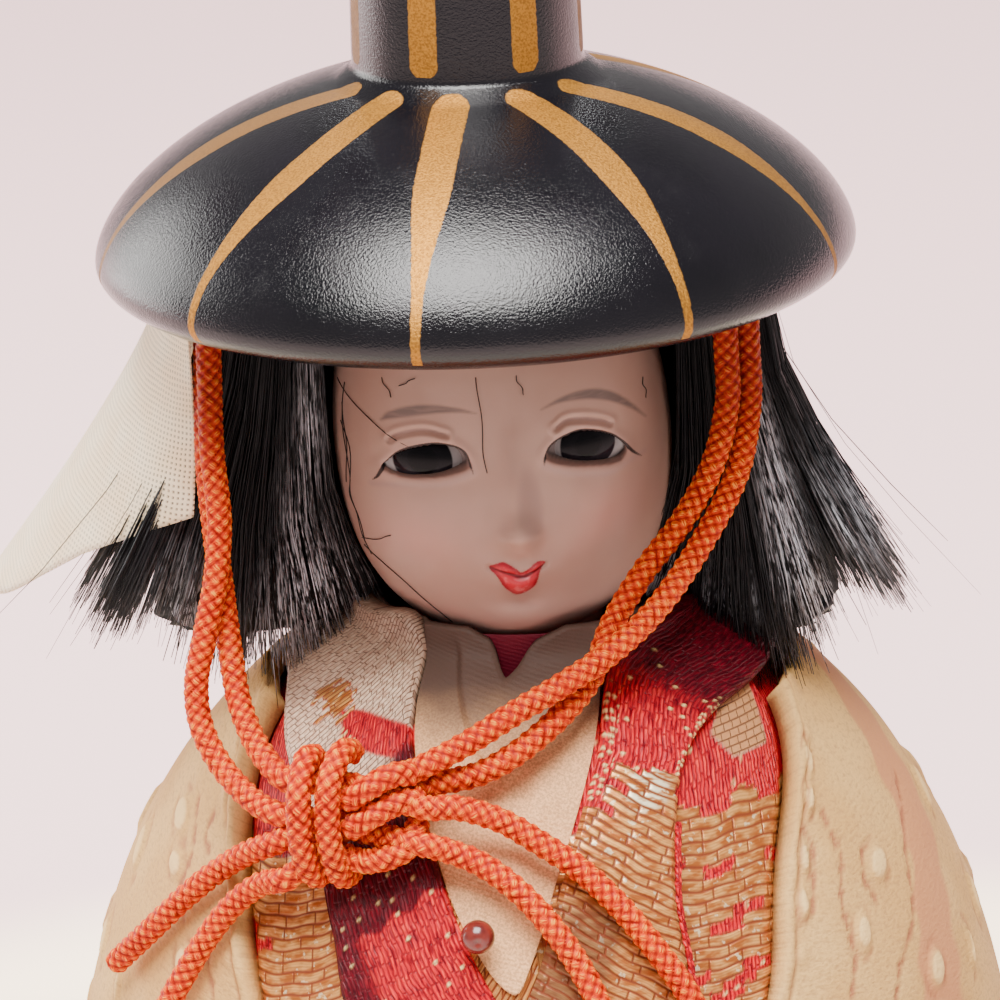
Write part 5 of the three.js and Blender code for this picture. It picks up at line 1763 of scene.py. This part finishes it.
def make_veil():
    """The cloth with its places across and down in mm.

    Its width is measured two thirds of the way down."""
    azimuth = np.linspace(VEIL_RIGHT - 360, VEIL_LEFT, 200)[None]
    down = np.linspace(0, 1, VEIL_ROWS)[:, None]
    middle = veil_surface(azimuth, down)
    normal = unit(np.cross(np.gradient(middle, axis=1), np.gradient(middle, axis=0)))
    outer, inner = middle + normal * VEIL_THICKNESS / 2, middle - normal * VEIL_THICKNESS / 2
    across = np.cumsum(np.linalg.norm(np.diff(middle[VEIL_MEASURED_ROW], axis=0), axis=1))
    across = np.concatenate([[0], across])[None] + 0 * down
    fall = np.linalg.norm(np.diff(middle, axis=0), axis=-1)
    fall = np.vstack([np.zeros((1, azimuth.size)), np.cumsum(fall, axis=0)])
    both = {"across": np.concatenate([across, across[:, ::-1]], axis=1),
            "down": np.concatenate([fall, fall[:, ::-1]], axis=1)}
    skin = Skin().tube(cloth_loops(outer, inner), **both)
    veil = skin.piece("veil_gauze", veil_finish(), "gauze", "veil")
    return veil


veil = make_veil()

# %% [markdown]
# ## Stage and light
#
# The doll stands on a pale table in front of a pinkish-grey wall, both out of focus in the
# photograph. One wide disc does for both: its colour and its glow turn from table to wall in a soft
# ring round the doll, so every view has the same backdrop. The glow is painted light, dimmer in
# front, where it also lights the doll.

# %% Stage and lights
FLOOR_RADIUS, FLOOR_CORNERS, FLOOR_BELOW = 20000, 96, 0.02


def make_floor():
    """A wide disc. Its glow makes the far side as light as the overexposed room in the photograph."""
    f = Finish("pale table and wall")
    x, y, _ = f.axes()
    away = f.maths("SQRT", x * x + y * y)
    wall = f.rise(away, 84.0, 104.0)
    colour = f.mix(wall, paint(236, 226, 214), paint(220, 196, 192))
    behind = f.rise(y, 0.0, 90.0)
    # Painted light: the disc glows, brighter behind the doll and dimmer in front, where its glow lights the
    # doll from below.
    glow = f.mix(wall, (3.6, 2.7, 1.7, 1), (2.1, 1.3, 1.32, 1))
    glow = f.mix(behind, f.mix(wall, (0.3, 0.25, 0.22, 1), (0.62, 0.54, 0.52, 1)), glow)
    material = f.surface(Base_Color=colour, Roughness=0.8, Emission_Color=glow, Emission_Strength=1.0)
    mesh = bpy.data.meshes.new("floor")
    turn = np.linspace(0, 2 * np.pi, FLOOR_CORNERS, endpoint=False)
    rim = [FLOOR_RADIUS * np.cos(turn), FLOOR_RADIUS * np.sin(turn), 0 * turn - FLOOR_BELOW]
    mesh.from_pydata((np.column_stack(rim) * MM).tolist(), [], [list(range(FLOOR_CORNERS))])
    mesh.materials.append(material)
    floor = bpy.data.objects.new("floor", mesh)
    bpy.context.collection.objects.link(floor)


def make_light(name, place, aim, size, power, colour=(1, 1, 1)):
    """A square soft light at a place in mm, facing its aim, with its power in watts."""
    data = bpy.data.lights.new(name, "AREA")
    data.shape, data.size, data.energy, data.color = "SQUARE", size * MM, power, colour
    light = bpy.data.objects.new(name, data)
    light.location = Vector(place) * MM
    light.rotation_euler = (Vector(aim) - Vector(place)).to_track_quat("-Z", "Y").to_euler()
    bpy.context.collection.objects.link(light)


def make_world():
    """A grey room that is dark overhead, so that the lacquer stays deep black, and lighter lower down."""
    world = bpy.data.worlds.new("soft room")
    world.use_nodes = True
    tree = world.node_tree
    direction = tree.nodes.new("ShaderNodeTexCoord")
    split = tree.nodes.new("ShaderNodeSeparateXYZ")
    height = tree.nodes.new("ShaderNodeMapRange")
    tone = tree.nodes.new("ShaderNodeMix")
    tone.data_type = "RGBA"
    height.inputs[1].default_value, height.inputs[2].default_value = 0.0, 0.75
    tone.inputs[6].default_value = (0.58, 0.54, 0.53, 1)
    tone.inputs[7].default_value = (0.2, 0.19, 0.2, 1)
    tree.links.new(direction.outputs["Generated"], split.inputs[0])
    tree.links.new(split.outputs[2], height.inputs[0])
    tree.links.new(height.outputs[0], tone.inputs[0])
    tree.links.new(tone.outputs[2], tree.nodes["Background"].inputs["Color"])
    bpy.context.scene.world = world


make_floor()
make_world()
make_light("key", (-25, -118, 365), (0, 0, 70), 230, 3.65, (1.0, 0.97, 0.94))
make_light("left", (-300, 170, 150), (0, 0, 60), 240, 1.15, (1.0, 0.98, 0.95))
make_light("back", (0, 300, 330), (0, 0, 80), 90, 0.35)
